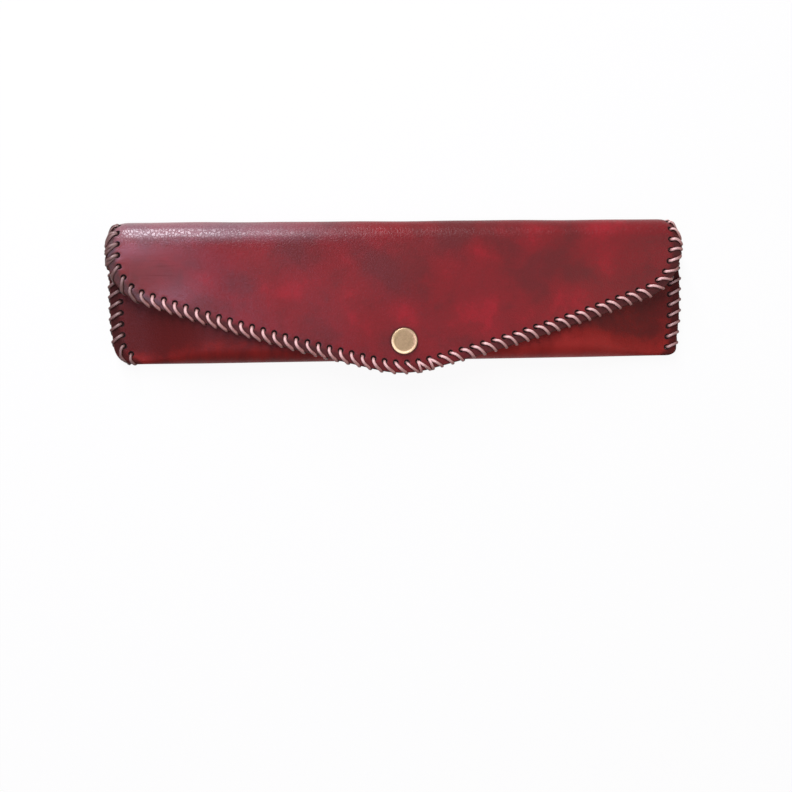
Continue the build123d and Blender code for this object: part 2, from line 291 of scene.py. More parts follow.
@dataclass(frozen=True)
class PocketSurface:
    """The pocket, from half-way up the wall, round the back and the bottom fold to the mouth."""

    sizes: CaseSizes
    ripple: float = 0.2
    left_flare: float = 1.2
    right_flare: float = 3.6
    flare_from: float = 70.0
    flare_width: float = 26.0
    low_from: float = -8.0
    low_width: float = 18.0
    low_loss: float = 0.36

    def flare(self, x: np.ndarray, y: np.ndarray) -> np.ndarray:
        """How far the seams stand out past their straight lines, most of all half-way down."""
        s = self.sizes
        ends = ease((np.abs(x) - self.flare_from) / (s.half - self.flare_from))
        ends = ends * ease((s.back_y - y) / self.flare_width)
        low = ease((self.low_from - y) / self.low_width)
        right = self.right_flare * (1 - self.low_loss * low)
        left = self.left_flare * (1 - low)
        return ends * np.where(x > 0, right, -left)

    def swell(self, x: np.ndarray) -> np.ndarray:
        """How far the pocket is swollen, from 0 at its flat seams to 1 in the middle."""
        s = self.sizes
        return ease((s.half - s.seam_width - np.abs(x)) / s.swell_length)

    @property
    def stops(self) -> list[float]:
        """Where the wall, crease, flat, ramp, back, fold and front start and end on a flat seam."""
        s = self.sizes
        outer = s.seam_thickness / 2
        ramp_y = s.back_y - s.crease_gap - s.ramp_length
        runs = [
            s.middle_z - s.back_z,
            s.back_crease * math.pi / 2,
            s.crease_gap,
            s.ramp_length,
            ramp_y - s.bottom_y - outer,
            math.pi * outer,
            s.mouth_y - s.bottom_y - outer,
        ]
        return [0.0] + [float(v) for v in np.cumsum(runs)]

    def on_back(self, y: float) -> float:
        """The run to the back ply's point over y, near a seam."""
        return self.stops[2] + self.sizes.back_y - y

    def on_front(self, y: float) -> float:
        """The run to the front ply's point over y, near a seam."""
        s = self.sizes
        return self.stops[6] + y - s.bottom_y - s.seam_thickness / 2

    def place(self, x: np.ndarray, run: np.ndarray, lift: np.ndarray) -> np.ndarray:
        """Points on the folded pocket.

        Args:
            x: Distance along the case.
            run: Distance round the hide from half-way up the wall.
            lift: Distance off the outer face.

        Returns:
            An array of points, one to a row.
        """
        s = self.sizes
        share = self.swell(x)
        outer = s.seam_thickness / 2 + (s.pocket_depth - s.seam_thickness) / 2 * share
        base = s.seam_rise * (1 - share)
        fold_y = s.bottom_y + outer
        fold_z = base + outer
        flat_y = s.back_y - s.crease_gap
        ramp_y = flat_y - s.ramp_length
        stops = self.stops
        part = [np.clip((run - a) / (b - a), 0, 1) for a, b in zip(stops, stops[1:])]
        wave = np.sin(x / 13.1 + 0.3) * np.sin(run / 9.7) + 0.6 * np.sin(x / 7.3 + run / 12.0)
        wave *= self.ripple * share * ease((run - stops[6]) / 14) * ease((s.half - 20 - np.abs(x)) / 20)
        crease = part[1] * math.pi / 2
        fold = part[5] * math.pi
        pieces_y = [
            s.wall_y + lift,
            s.back_y + (s.back_crease + lift) * np.cos(crease),
            s.back_y - part[2] * s.crease_gap,
            flat_y - part[3] * s.ramp_length,
            ramp_y - part[4] * (ramp_y - fold_y),
            fold_y - (outer + lift) * np.sin(fold),
            fold_y + part[6] * (s.mouth_y - fold_y),
        ]
        pieces_z = [
            s.middle_z - run,
            s.back_z - (s.back_crease + lift) * np.sin(crease),
            s.seam_rise - lift,
            s.seam_rise + (base - s.seam_rise) * ease(part[3]) - lift,
            base - lift,
            fold_z - (outer + lift) * np.cos(fold),
            fold_z + outer + lift + wave,
        ]
        which = np.clip(np.searchsorted(stops, run, side="right") - 1, 0, 6)
        shape = np.broadcast(x, run, lift).shape
        y = np.choose(which, [np.broadcast_to(p, shape) for p in pieces_y])
        z = np.choose(which, [np.broadcast_to(p, shape) for p in pieces_z])
        return np.stack([np.broadcast_to(x, shape) + self.flare(x, y), pinched(s, x, y), z], -1)


@dataclass(frozen=True)
class SeamSurface:
    """The flat side seams of a pocket: lift is the height itself."""

    pocket: PocketSurface

    def place(self, x: np.ndarray, y: np.ndarray, lift: np.ndarray) -> np.ndarray:
        """Points over the seam, which is flat."""
        high = pinched(self.pocket.sizes, x, y)
        return np.stack(np.broadcast_arrays(x + self.pocket.flare(x, y), high, lift), -1)


# The flap's outline


@dataclass(frozen=True)
class FlapOutline:
    """The flap as it is cut: straight sides, round shoulders and two long bowed edges to a blunt point."""

    sizes: CaseSizes

    def bow(self, side: int) -> tuple[np.ndarray, float]:
        """Centre and radius of the long arc on one side."""
        s = self.sizes
        point = np.array([s.point_x, s.bottom_y - s.point_drop])
        shoulder = np.array([side * (s.half + s.flap_flare), s.wall_y - s.flap_shoulder])
        chord = shoulder - point
        span = float(np.hypot(*chord))
        radius = (span * span / 4 + s.flap_bow**2) / (2 * s.flap_bow)
        inward = np.array([-chord[1], chord[0]]) / span * side
        return (point + shoulder) / 2 + inward * (radius - s.flap_bow), radius

    def corner(self, side: int) -> tuple[np.ndarray, np.ndarray]:
        """Centre of a shoulder's round and the inward direction of the straight side above it."""
        s = self.sizes
        centre, radius = self.bow(side)
        knee = np.array([side * s.half, s.front_y - 1])
        shoulder = np.array([side * (s.half + s.flap_flare), s.wall_y - s.flap_shoulder])
        down = (shoulder - knee) / np.hypot(*(shoulder - knee))
        inward = np.array([down[1], -down[0]]) * side
        start = knee + inward * s.flap_corner - centre
        along = float(start @ down)
        reach = math.sqrt(along * along - float(start @ start) + (radius - s.flap_corner) ** 2)
        return centre + start + down * (reach - along), inward

    def blunt(self) -> np.ndarray:
        """Centre of the round at the point."""
        (left, left_radius), (right, right_radius) = self.bow(-1), self.bow(1)
        near = left_radius - self.sizes.point_radius
        far = right_radius - self.sizes.point_radius
        apart = right - left
        span = float(np.hypot(*apart))
        along = (span * span + near * near - far * far) / (2 * span)
        off = math.sqrt(near * near - along * along)
        across = np.array([-apart[1], apart[0]]) / span
        middle = left + apart / span * along
        return min((middle + across * off, middle - across * off), key=lambda p: p[1])

    def half_line(self, side: int, top_y: float, inset: float) -> list[np.ndarray]:
        """One half of the outline, from its top down to the point, as close points."""
        s = self.sizes
        bow_centre, bow_radius = self.bow(side)
        corner, inward = self.corner(side)
        blunt = self.blunt()
        knee = np.array([side * (s.half - inset), s.front_y - 1])
        points = [np.array([side * (s.half - inset), y]) for y in np.arange(top_y, knee[1], -0.5)]
        foot = corner - inward * (s.flap_corner - inset)
        points += [knee + (foot - knee) * t for t in np.linspace(0, 1, 8)[:-1]]
        start = foot - corner
        to_bow = (corner - bow_centre) / np.hypot(*(corner - bow_centre))
        to_blunt = (blunt - bow_centre) / np.hypot(*(blunt - bow_centre))
        tip = np.array([0.0, -1.0])
        for centre, radius, first, last, count in [
            (corner, s.flap_corner - inset, start, to_bow, 30),
            (bow_centre, bow_radius - inset, to_bow, to_blunt, 220),
            (blunt, s.point_radius - inset, to_blunt, tip, 20),
        ]:
            a = math.atan2(first[1], first[0])
            b = math.atan2(last[1], last[0])
            turn = (b - a + math.pi) % (2 * math.pi) - math.pi
            angles = a + turn * np.linspace(0, 1, count + 1)[:-1]
            points += [centre + radius * np.array([math.cos(t), math.sin(t)]) for t in angles]
        return points

    def line(self, top_y: float, inset: float = 0.0) -> np.ndarray:
        """The outline from its left top, down round the point and up to its right top."""
        blunt = self.blunt() + np.array([0.0, inset - self.sizes.point_radius])
        left = self.half_line(-1, top_y, inset)
        right = self.half_line(1, top_y, inset)
        return np.array(left + [blunt] + right[::-1])


# Stitches


@dataclass(frozen=True)
class Stitch:
    """One punched hole: its place, the ways along the stitch line and to the edge, and its ends' lifts."""

    place: np.ndarray
    onward: np.ndarray
    outward: np.ndarray
    top: float
    bottom: float


def spots(x: object, y: object) -> np.ndarray:
    """Points from their x and y, either of which may be one number for them all."""
    return np.stack(np.broadcast_arrays(x, y), -1)


def circle(turns: np.ndarray) -> np.ndarray:
    """The points of a circle of radius 1 at some angles, one to a row."""
    return np.stack([np.cos(turns), np.sin(turns)], 1)


def walk(line: np.ndarray, pitch: float) -> list[tuple[np.ndarray, np.ndarray]]:
    """Evenly spaced places along a line, with the line's direction at each."""
    steps = np.hypot(*np.diff(line, axis=0).T)
    run = np.concatenate([[0], np.cumsum(steps)])
    count = round(run[-1] / pitch)
    found = []
    for at in np.linspace(0, run[-1], count + 1):
        near = np.array([np.interp(at + d, run, line[:, k]) for d in (-0.3, 0.3) for k in (0, 1)])
        onward = near[2:] - near[:2]
        here = np.array([np.interp(at, run, line[:, k]) for k in (0, 1)])
        found.append((here, onward / np.hypot(*onward)))
    return found


@dataclass(frozen=True)
class StitchPlan:
    """Every row of punched holes, in the order in which the lace goes through them."""

    sizes: CaseSizes

    def seam(self, side: int) -> list[Stitch]:
        """The pocket's side seam."""
        s = self.sizes
        x = side * (s.half - s.hole_inset)
        line = np.array([[x, s.back_y - s.seam_stop], [x, s.bottom_y + s.seam_foot]])[::-side]
        if side < 0:
            centre = np.array([s.left_corner - s.half, s.bottom_y + s.left_corner])
            rounded = circle(np.linspace(math.pi, 1.42 * math.pi, 12)) * (s.left_corner - s.hole_inset)
            line = np.concatenate([line[:1], rounded + centre])
        rows = []
        for here, onward in walk(line, s.stitch_pitch):
            plies = s.seam_thickness if here[1] - s.stitch_pitch < s.mouth_y + s.over_mouth else s.leather
            outward = np.array([onward[1], -onward[0]])
            rows.append(Stitch(here, onward, outward, s.seam_rise + plies, s.seam_rise))
        return rows

    def corner(self) -> Stitch:
        """Where the left seam's lace slants over the bottom fold and ends."""
        last = self.seam(-1)[-1]
        place = last.place + np.array([self.sizes.stitch_pitch * 0.3, 0.3])
        return Stitch(place, np.array([1.0, 0.0]), np.array([0.0, -1.0]), last.top, last.bottom)

    def fold(self, side: int) -> list[Stitch]:
        """The few holes across the top fold."""
        s = self.sizes
        x = side * (s.half - s.hole_inset)
        high = s.split_y + s.crease_margin
        run = (s.back_crease + s.front_crease) * math.pi / 4 + s.wall_height
        low = s.split_y + run - s.crease_margin
        line = np.array([[x, low], [x, high]] if side < 0 else [[x, high], [x, low]])
        outward = np.array([float(side), 0.0])
        return [Stitch(p, d, outward, 0.0, -s.leather) for p, d in walk(line, s.stitch_pitch)]

    def flap(self) -> list[Stitch]:
        """The holes round the flap, from its left top to its right top."""
        s = self.sizes
        line = FlapOutline(s).line(s.split_y - s.crease_margin, s.hole_inset)
        return [Stitch(p, d, np.array([d[1], -d[0]]), 0.0, -s.leather) for p, d in walk(line, s.stitch_pitch)]


# Meshes


def new_piece(
    name: str,
    points: np.ndarray,
    faces: Sequence[Sequence[int]],
    materials: Sequence[bpy.types.Material],
    indices: Sequence[int] | None = None,
) -> bpy.types.Object:
    """Makes a smooth-shaded mesh object.

    Args:
        name: The piece's name.
        points: Its vertices, in millimetres.
        faces: Its faces, as vertex indices.
        materials: Its materials, in the order of its slots.
        indices: The slot of each face, all 0 where it isn't given.

    Returns:
        The linked object.
    """
    mesh = bpy.data.meshes.new(name)
    mesh.from_pydata((points * MM).tolist(), [], [list(f) for f in faces])
    for material in materials:
        mesh.materials.append(material)
    mesh.polygons.foreach_set("use_smooth", [True] * len(mesh.polygons))
    if indices is not None:
        mesh.polygons.foreach_set("material_index", list(indices))
    mesh.validate()
    mesh.update()
    piece = bpy.data.objects.new(name, mesh)
    bpy.context.scene.collection.objects.link(piece)
    return piece


def note(piece: bpy.types.Object, name: str, values: np.ndarray) -> None:
    """Writes a value or a vector for each vertex, for the materials to read."""
    flat = np.asarray(values, np.float32)
    kind, key = ("FLOAT_VECTOR", "vector") if flat.ndim == 2 else ("FLOAT", "value")
    layer = piece.data.attributes.new(name, kind, "POINT")
    layer.data.foreach_set(key, flat.ravel())


def tube_faces(count: int, sides: int) -> list[list[int]]:
    """The faces of a closed tube of rings, each ring's points in turn, with a flat cap at both ends."""
    quads = []
    for low in range(0, (count - 1) * sides, sides):
        for j in range(sides):
            after = (j + 1) % sides
            quads.append([low + j, low + after, low + sides + after, low + sides + j])
    return quads + [list(range(sides))[::-1], list(range((count - 1) * sides, count * sides))]


def inside(points: np.ndarray, loop: np.ndarray) -> np.ndarray:
    """Which points lie inside a closed loop."""
    x, y = points[:, 0][:, None], points[:, 1][:, None]
    ax, ay = loop[:, 0], loop[:, 1]
    bx, by = np.roll(ax, -1), np.roll(ay, -1)
    crosses = (ay > y) != (by > y)
    slope = np.where(by == ay, 1e-12, by - ay)
    hits = crosses & (x < (bx - ax) * (y - ay) / slope + ax)
    return hits.sum(1) % 2 == 1


class SheetSide(Enum):
    """The four kinds of face on a sheet of hide, numbered as the material slots are."""

    GRAIN = 0
    FLESH = 1
    CUT = 2
    PUNCHED = 3


@dataclass
class HideSheet:
    """A sheet of hide with rounded cut edges and punched holes, planned flat and then folded."""

    outline: np.ndarray
    joined: np.ndarray
    holes: np.ndarray
    columns: np.ndarray
    rows: np.ndarray
    place: Callable[[np.ndarray, np.ndarray, np.ndarray], np.ndarray]
    leather: float
    hole_radius: float
    edge_round: float = 0.5
    hole_round: float = 0.3
    hole_foot: float = 0.66
    hole_pull: float = 0.34
    hole_sides: int = 14
    rim_gap: float = 0.7
    hole_gap: float = 0.45
    near_edge: float = 12.0
    near_hole: float = 6.0

    @property
    def free(self) -> np.ndarray:
        """The outline's points that don't lie within its joined edge."""
        return self.outline[~(self.joined & np.roll(self.joined, 1))]

    def inward(self) -> np.ndarray:
        """Each outline point's way in from the cut edge, along a joined edge where it meets one."""
        ahead = np.roll(self.outline, -1, 0) - self.outline
        ahead /= np.hypot(*ahead.T)[:, None]
        normal = np.stack([-ahead[:, 1], ahead[:, 0]], 1)
        before = np.roll(normal, 1, 0)
        joined_before = np.roll(self.joined, 1)
        way = (before + normal) / (1 + (before * normal).sum(1))[:, None]
        way[self.joined & joined_before] = 0
        way[self.joined & ~joined_before] = before[self.joined & ~joined_before]
        way[~self.joined & joined_before] = normal[~self.joined & joined_before]
        return way

    def profile(self, radius: float) -> list[tuple[float, float]]:
        """Inset and depth of each ring from the outer face round a cut edge to the inner face."""
        turns = [math.radians(a) for a in (0, 30, 60, 90)]
        top = [(radius * (1 - math.sin(a)), radius * (1 - math.cos(a))) for a in turns]
        return top + [(inset, self.leather - depth) for inset, depth in reversed(top)]

    def ring(self, hole: np.ndarray, radius: float) -> np.ndarray:
        """The points round a hole."""
        return hole + radius * circle(np.linspace(0, 2 * math.pi, self.hole_sides, endpoint=False))

    def foot(self, hole: np.ndarray) -> np.ndarray:
        """Centre of a hole on the flesh side, where the lace pulls it towards the edge."""
        away = self.free[np.argmin(np.hypot(*(self.free - hole).T))] - hole
        return hole + self.hole_pull * away / np.hypot(*away)

    def hole_rings(self, hole: np.ndarray) -> list[tuple[np.ndarray, float]]:
        """The rings down a hole and their depths, which close round the lace."""
        foot = self.foot(hole)
        rings = []
        for inset, depth in self.profile(self.hole_round)[1:]:
            share = depth / self.leather
            radius = self.hole_radius + (self.hole_foot - self.hole_radius) * share
            rings.append((self.ring(hole + (foot - hole) * share, radius + inset), depth))
        return rings

    def loops(self) -> list[np.ndarray]:
        """The rim and then the ring round each hole, which bound the flat faces."""
        rim = self.outline + self.inward() * self.edge_round
        return [rim] + [self.ring(h, self.hole_radius + self.hole_round) for h in self.holes]

    def wall(self, index: int) -> list[tuple[np.ndarray, float]]:
        """The rings and their depths from one loop round its cut edge to the flesh side."""
        if index:
            return self.hole_rings(self.holes[index - 1])
        way = self.inward()
        return [(self.outline + way * inset, depth) for inset, depth in self.profile(self.edge_round)[1:]]

    def face(self, loops: list[np.ndarray]) -> tuple[np.ndarray, np.ndarray, list[list[int]]]:
        """Fills the flat face between the loops with triangles.

        Args:
            loops: The rim and the rings round the holes.

        Returns:
            The face's points, its triangles and the numbers of each loop's points.
        """
        rim, open_radius = loops[0], self.hole_radius + self.hole_round
        grid = np.stack(np.meshgrid(self.columns, self.rows), -1).reshape(-1, 2)
        grid = grid[inside(grid, rim)]
        grid = grid[self.distance(grid, rim) > self.rim_gap]
        grid = grid[self.distance(grid, self.holes) > open_radius + self.hole_gap]
        edges, spans, start = [], [], 0
        for loop in loops:
            spans.append(range(start, start + len(loop)))
            edges += list(zip(spans[-1], [*spans[-1][1:], start]))
            start += len(loop)
        flat = np.concatenate(loops + [grid])
        found = delaunay_2d_cdt([Vector(p) for p in flat], edges, [], 0, 1e-5)
        points, faces, origins = np.array([tuple(p) for p in found[0]]), np.array(found[2]), found[3]
        centres = points[faces].mean(1)
        in_hole = self.distance(centres, self.holes) <= open_radius * math.cos(math.pi / self.hole_sides)
        number = {origin: k for k, given in enumerate(origins) for origin in given}
        return points, faces[inside(centres, rim) & ~in_hole], [[number[k] for k in span] for span in spans]

    def build(self, name: str, materials: Sequence[bpy.types.Material]) -> bpy.types.Object:
        """Makes the sheet.

        Args:
            name: The piece's name.
            materials: The materials of the grain side, the flesh side, the cut edge and the holes.

        Returns:
            The piece, its flat coordinates and its distances from edges and holes noted on it.
        """
        points, faces, tops = self.face(self.loops())
        count = len(points)
        flesh = points.copy()
        for hole, top in zip(self.holes, tops[1:]):
            flesh[top] = self.hole_rings(hole)[-1][0]
        flats = [points, flesh]
        lifts = [np.zeros(count), np.full(count, -self.leather)]
        quads: list[tuple[list[int], int]] = []
        total = 2 * count
        for index, top in enumerate(tops):
            size = len(top)
            levels = [top]
            for ring, depth in self.wall(index)[:-1]:
                flats.append(ring)
                lifts.append(np.full(size, -depth))
                levels.append(list(range(total, total + size)))
                total += size
            levels.append([k + count for k in top])
            side = SheetSide.PUNCHED if index else SheetSide.CUT
            for upper, lower in zip(levels, levels[1:]):
                for k in range(size):
                    if index == 0 and self.joined[k]:
                        continue
                    after = (k + 1) % size
                    quad = [upper[k], lower[k], lower[after], upper[after]]
                    quads.append((quad[::-1] if index else quad, side.value))
        flat_points, lift = np.concatenate(flats), np.concatenate(lifts)
        upper_faces = [list(f) for f in faces]
        lower_faces = [[int(k) + count for k in f[::-1]] for f in faces]
        all_faces = upper_faces + lower_faces + [q for q, _ in quads]
        sides = [SheetSide.GRAIN.value] * len(faces) + [SheetSide.FLESH.value] * len(faces)
        # The rings run on past the joined edge, where no face uses their points
        used = np.zeros(len(lift), bool)
        used[np.concatenate(all_faces)] = True
        fresh = np.cumsum(used) - 1
        flat_points, lift = flat_points[used], lift[used]
        all_faces = [fresh[face].tolist() for face in all_faces]
        solid = self.place(flat_points[:, 0], flat_points[:, 1], lift)
        piece = new_piece(name, solid, all_faces, materials, sides + [s for _, s in quads])
        note(piece, "flat_place", np.concatenate([flat_points, lift[:, None]], 1) * MM)
        note(piece, "edge_near", np.clip(self.distance(flat_points, self.free) / self.near_edge, 0, 1))
        note(piece, "hole_near", np.clip(self.distance(flat_points, self.holes) / self.near_hole, 0, 1))
        return piece

    @staticmethod
    def distance(points: np.ndarray, others: np.ndarray) -> np.ndarray:
        """Distance from each point to the nearest of the others."""
        found = [
            np.sqrt(((part[:, None] - others[None]) ** 2).sum(-1)).min(1)
            for part in np.array_split(points, max(1, len(points) // 500))
        ]
        return np.concatenate(found)


def flat_places(piece: bpy.types.Object) -> np.ndarray:
    """The flat coordinates noted on a sheet, in millimetres: one row for each axis."""
    flat = np.zeros(len(piece.data.vertices) * 3, np.float32)
    piece.data.attributes["flat_place"].data.foreach_get("vector", flat)
    return flat.reshape(-1, 3).T / MM


def between_knots(points: Sequence[np.ndarray], knots: np.ndarray, t: float) -> np.ndarray:
    """The point at t on a smooth curve through four points, between the middle two."""

    def blend(p: np.ndarray, q: np.ndarray, i: int, j: int) -> np.ndarray:
        """The point at t on the line from p at one knot to q at another."""
        return p + (q - p) * (t - knots[i]) / (knots[j] - knots[i])

    low, mid, high = (blend(points[k], points[k + 1], k, k + 1) for k in range(3))
    return blend(blend(low, mid, 0, 2), blend(mid, high, 1, 3), 1, 2)


@dataclass
class WhipLace:
    """A flattened lace that goes up through each hole, slants over the edge and runs back underneath.

    Its strand is a row of shares of the way over and how far the lace bows up there, its wear and highlight
    shares say how pale it is at four places on that way, partly from wear and partly as a painted highlight,
    and its spreads say how uneven its strands are.
    """

    stitches: Sequence[Stitch]
    place: Callable[[np.ndarray, np.ndarray, np.ndarray], np.ndarray]
    inset: float
    width: float = 1.5
    thickness: float = 1.05
    tail: float = 2.6
    bite: float = 0.22
    seed: int = 1
    closing: Stitch | None = None
    doubled: frozenset[int] = frozenset()
    packed: bool = False
    pitch: float = 5.35
    # Painted shade: how strongly the lace is darkened towards one end of the case, and which end.
    darkening: float = 1.0
    darkening_from: int = -1
    sides: int = 10
    finer: int = 3
    clearance: float = 0.04
    away: float = 0.7
    end_spread: float = 0.06
    lean_spread: float = 0.15
    lift_spread: float = 0.05
    swell_spread: float = 0.05
    twice_higher: float = 0.55
    twice_shift: float = 0.8
    # Where along the case that painted shade starts, and over what length it grows.
    darkening_at: float = 114.0
    darkening_length: float = 12.0
    wear_and_painted_highlight_shares: tuple[float, ...] = (0.8, 1, 0.42, 0.08)
    strand: tuple[tuple[float, float], ...] = (
        (0.1, -0.14), (0.3, 0.16), (0.52, 0.26), (0.75, 0.2), (0.93, 0.04),
    )
    keys: list[tuple[np.ndarray, np.ndarray, float]] = field(default_factory=list)

    def lean(self, stitch: Stitch) -> float:
        """Whether a strand goes outwards first (-1) or along the edge first (1)."""
        if abs(stitch.onward[1]) > 0.8:
            return 0.15 * float(np.sign(stitch.place[0]))
        return float(np.clip((stitch.place[0] - 4) / 24, -1, 1))

    def reach(self, stitch: Stitch) -> float:
        """How far towards the next hole a strand gets, less down the straight sides than along the bow."""
        upright = ease((abs(stitch.onward[1]) - 0.45) / 0.5)
        back = 1.35 * ease((stitch.place[1] - 16) / 20) if self.packed else 0.0
        return 0.9 - (0.3 if stitch.place[0] < 0 else 0.45) * upright - back

    def steps(self) -> list[tuple[Stitch, Stitch | None, float, float]]:
        """Each strand's hole and the next, how far along it is shifted and how much higher it lies."""
        found: list[tuple[Stitch, Stitch | None, float, float]] = []
        following = list(self.stitches[1:]) + [self.closing]
        for number, (stitch, after) in enumerate(zip(self.stitches, following)):
            twice = number in self.doubled
            if twice:
                shift = (self.reach(stitch) + 0.5) * self.pitch if self.packed else self.twice_shift
                found.append((stitch, stitch, shift, 0.0))
            found.append((stitch, after, 0.0, self.twice_higher if twice else 0.0))
        return found

    def key(
        self, here: np.ndarray, out: np.ndarray, distance: float, lift: float, way: tuple[float, float],
        wear_and_painted_highlight: float = 0.0,
    ) -> None:
        """Adds a point of the lace and the way that its outer face looks.

        Args:
            here: The place on the stitch line.
            out: The direction to the edge.
            distance: How far out it lies.
            lift: How far off the outer face it lies.
            way: The share of outwards and of upwards in the direction that the lace's face looks.
            wear_and_painted_highlight: How pale the lace is there, partly from wear and partly as a painted
                highlight.
        """
        spots = np.array([here + out * (distance + d) for d in (0, 0.05, 0)])
        at, beside, above = self.place(spots[:, 0], spots[:, 1], lift + np.array([0, 0, 0.05]))
        face = (beside - at) * way[0] + (above - at) * way[1]
        self.keys.append((at, face / np.linalg.norm(face), wear_and_painted_highlight))

    def lay(self) -> None:
        """Sets every key point of the lace."""
        chance = np.random.default_rng(self.seed)
        rise = self.thickness / 2 + self.clearance
        edge = self.inset + rise - self.bite
        first = self.stitches[0]
        for out in (self.tail, self.tail / 2):
            self.key(first.place, first.outward, out + self.away, first.bottom - rise, (0, -1))
        for stitch, after, shift, higher in self.steps():
            here, out = stitch.place, stitch.outward
            jog, lift, pull = chance.normal(0, 1, 3).clip(-1.6, 1.6)
            self.key(here, out, 0.5, stitch.bottom - rise * 0.8, (-0.6, -0.8))
            self.key(here, out, 0.24, stitch.bottom + 0.2, (-1, -0.1))
            self.key(here, out, 0.1, stitch.top - 0.5, (-1, 0.2))
            if after is None:
                break
            over = max(stitch.top, after.top) + rise
            ends = self.reach(stitch) * (1 + self.end_spread * pull)
            lean = self.lean(stitch) * (1 + self.lean_spread * jog)
            # Painted highlight, partly wear: strands are palest just after the hole, and on the right for
            # more of their length.
            right = float(ease((here[0] + 20) / 60))
            wear_and_painted_highlight_at = (0.05, 0.22, 0.42 + 0.25 * right, 0.75 + 0.2 * right)
            for share, bow in self.strand:
                along = share ** (2 ** (-0.62 * lean)) * ends
                outwards = 0.35 + share ** (2 ** (0.7 * lean)) * (edge - 0.75)
                at = here + (after.place - here) * along + stitch.onward * shift * share
                way = out + (after.outward - out) * along
                high = over + bow + self.lift_spread * lift + higher * min(1, 2 * share) * (1 - share**6)
                worn = float(np.interp(share, wear_and_painted_highlight_at, self.wear_and_painted_highlight_shares))
                self.key(at, way / np.hypot(*way), outwards, high, (-0.25 * (share < 0.2), 1), worn)
            here = here + stitch.onward * shift
            near = here + (after.place - stitch.place) * (ends + 0.03)
            out = after.outward
            under = after.bottom - rise
            self.key(near, out, edge - 0.05, over - 0.55, (0.9, 0.6))
            self.key(near, out, edge + 0.05, (over + under) / 2, (1, 0))
            near = stitch.place + (after.place - stitch.place) * min(0.99, ends + 0.75)
            self.key(near, out, edge - 0.05, under + 0.55, (0.9, -0.6))
            self.key(near, out, edge - 0.75, under, (0.2, -1))
            self.key(after.place, out, edge / 2, under - 0.05, (0, -1))

    def path(self) -> tuple[np.ndarray, np.ndarray, np.ndarray]:
        """The lace's middle line as close points, with the way ahead and the way its face looks at each."""
        points = np.array([k[0] for k in self.keys])
        faces_way = np.array([k[1] for k in self.keys])
        steps = np.linspace(0, 1, self.finer, endpoint=False)
        path, way = [], []
        ends = [points[0] * 2 - points[1]] + list(points) + [points[-1] * 2 - points[-2]]
        for k in range(len(points) - 1):
            four = ends[k : k + 4]
            knots = np.cumsum([0] + [max(np.linalg.norm(q - p), 1e-3) ** 0.5 for p, q in zip(four, four[1:])])
            for step in steps:
                path.append(between_knots(four, knots, knots[1] + (knots[2] - knots[1]) * step))
                way.append(faces_way[k] * (1 - step) + faces_way[k + 1] * step)
        path.append(points[-1])
        way.append(faces_way[-1])
        line, look = np.array(path), np.array(way)
        ahead = np.gradient(line, axis=0)
        ahead /= np.linalg.norm(ahead, axis=1)[:, None]
        look -= ahead * (look * ahead).sum(1)[:, None]
        look /= np.maximum(np.linalg.norm(look, axis=1), 1e-6)[:, None]
        return line, ahead, look

    def build(self, name: str, material: bpy.types.Material) -> bpy.types.Object:
        """Makes the lace's mesh, its run along the strand noted for the material."""
        self.lay()
        line, ahead, look = self.path()
        across = np.cross(ahead, look)
        turns = np.linspace(0, 2 * math.pi, self.sides, endpoint=False)
        chance = np.random.default_rng(self.seed + 50)
        count = len(line)
        uneven = chance.normal(0, 1, count // 9 + 2)
        swell = 1 + self.swell_spread * np.interp(np.arange(count), np.arange(0, count + 9, 9), uneven)
        wide = (np.cos(turns) * self.width / 2)[None, :, None] * swell[:, None, None]
        thick = (np.sin(turns) * self.thickness / 2)[None, :, None] * swell[:, None, None]
        rings = line[:, None] + across[:, None] * wide + look[:, None] * thick
        piece = new_piece(name, rings.reshape(-1, 3), tube_faces(count, self.sides), [material])
        run = np.concatenate([[0], np.cumsum(np.linalg.norm(np.diff(line, axis=0), axis=1))])
        around = np.tile(turns / (2 * math.pi), count)
        seeds = np.full(len(around), self.seed)
        note(piece, "lace_place", np.stack([np.repeat(run, self.sides) * MM, around, seeds], 1))
        # Where each point of a strand's section faces out, which the material uses for painted highlights on
        # top and painted shade at the sides.
        note(piece, "crown", np.tile(np.sin(turns), count))
        # Painted shade on the strands towards one end of the case.
        towards = self.darkening_from * np.repeat(line[:, 0], self.sides)
        note(piece, "painted_end_shade", self.darkening * ease((towards - self.darkening_at) / self.darkening_length))
        # The pale share along the lace, partly wear and partly painted highlight.
        wear_and_painted_highlight = [k[2] for k in self.keys]
        worn = np.interp(np.arange(count) / self.finer, np.arange(len(wear_and_painted_highlight)), wear_and_painted_highlight)
        note(piece, "wear_and_painted_highlight", np.repeat(worn, self.sides))
        return piece


def turned(
    name: str,
    centre: tuple[float, float],
    profile: Sequence[tuple[float, float]],
    material: bpy.types.Material,
    sides: int = 72,
) -> bpy.types.Object:
    """Makes a piece turned about an upright axis from a closed profile of radii and heights."""
    turns = np.linspace(0, 2 * math.pi, sides, endpoint=False)
    rings = []
    for radius, height in profile:
        held = max(radius, 0.004)
        across, up = centre[0] + held * np.cos(turns), centre[1] + held * np.sin(turns)
        rings.append(np.stack([across, up, np.full(sides, height)], 1))
    return new_piece(name, np.concatenate(rings), tube_faces(len(profile), sides), [material])


# Shader helpers


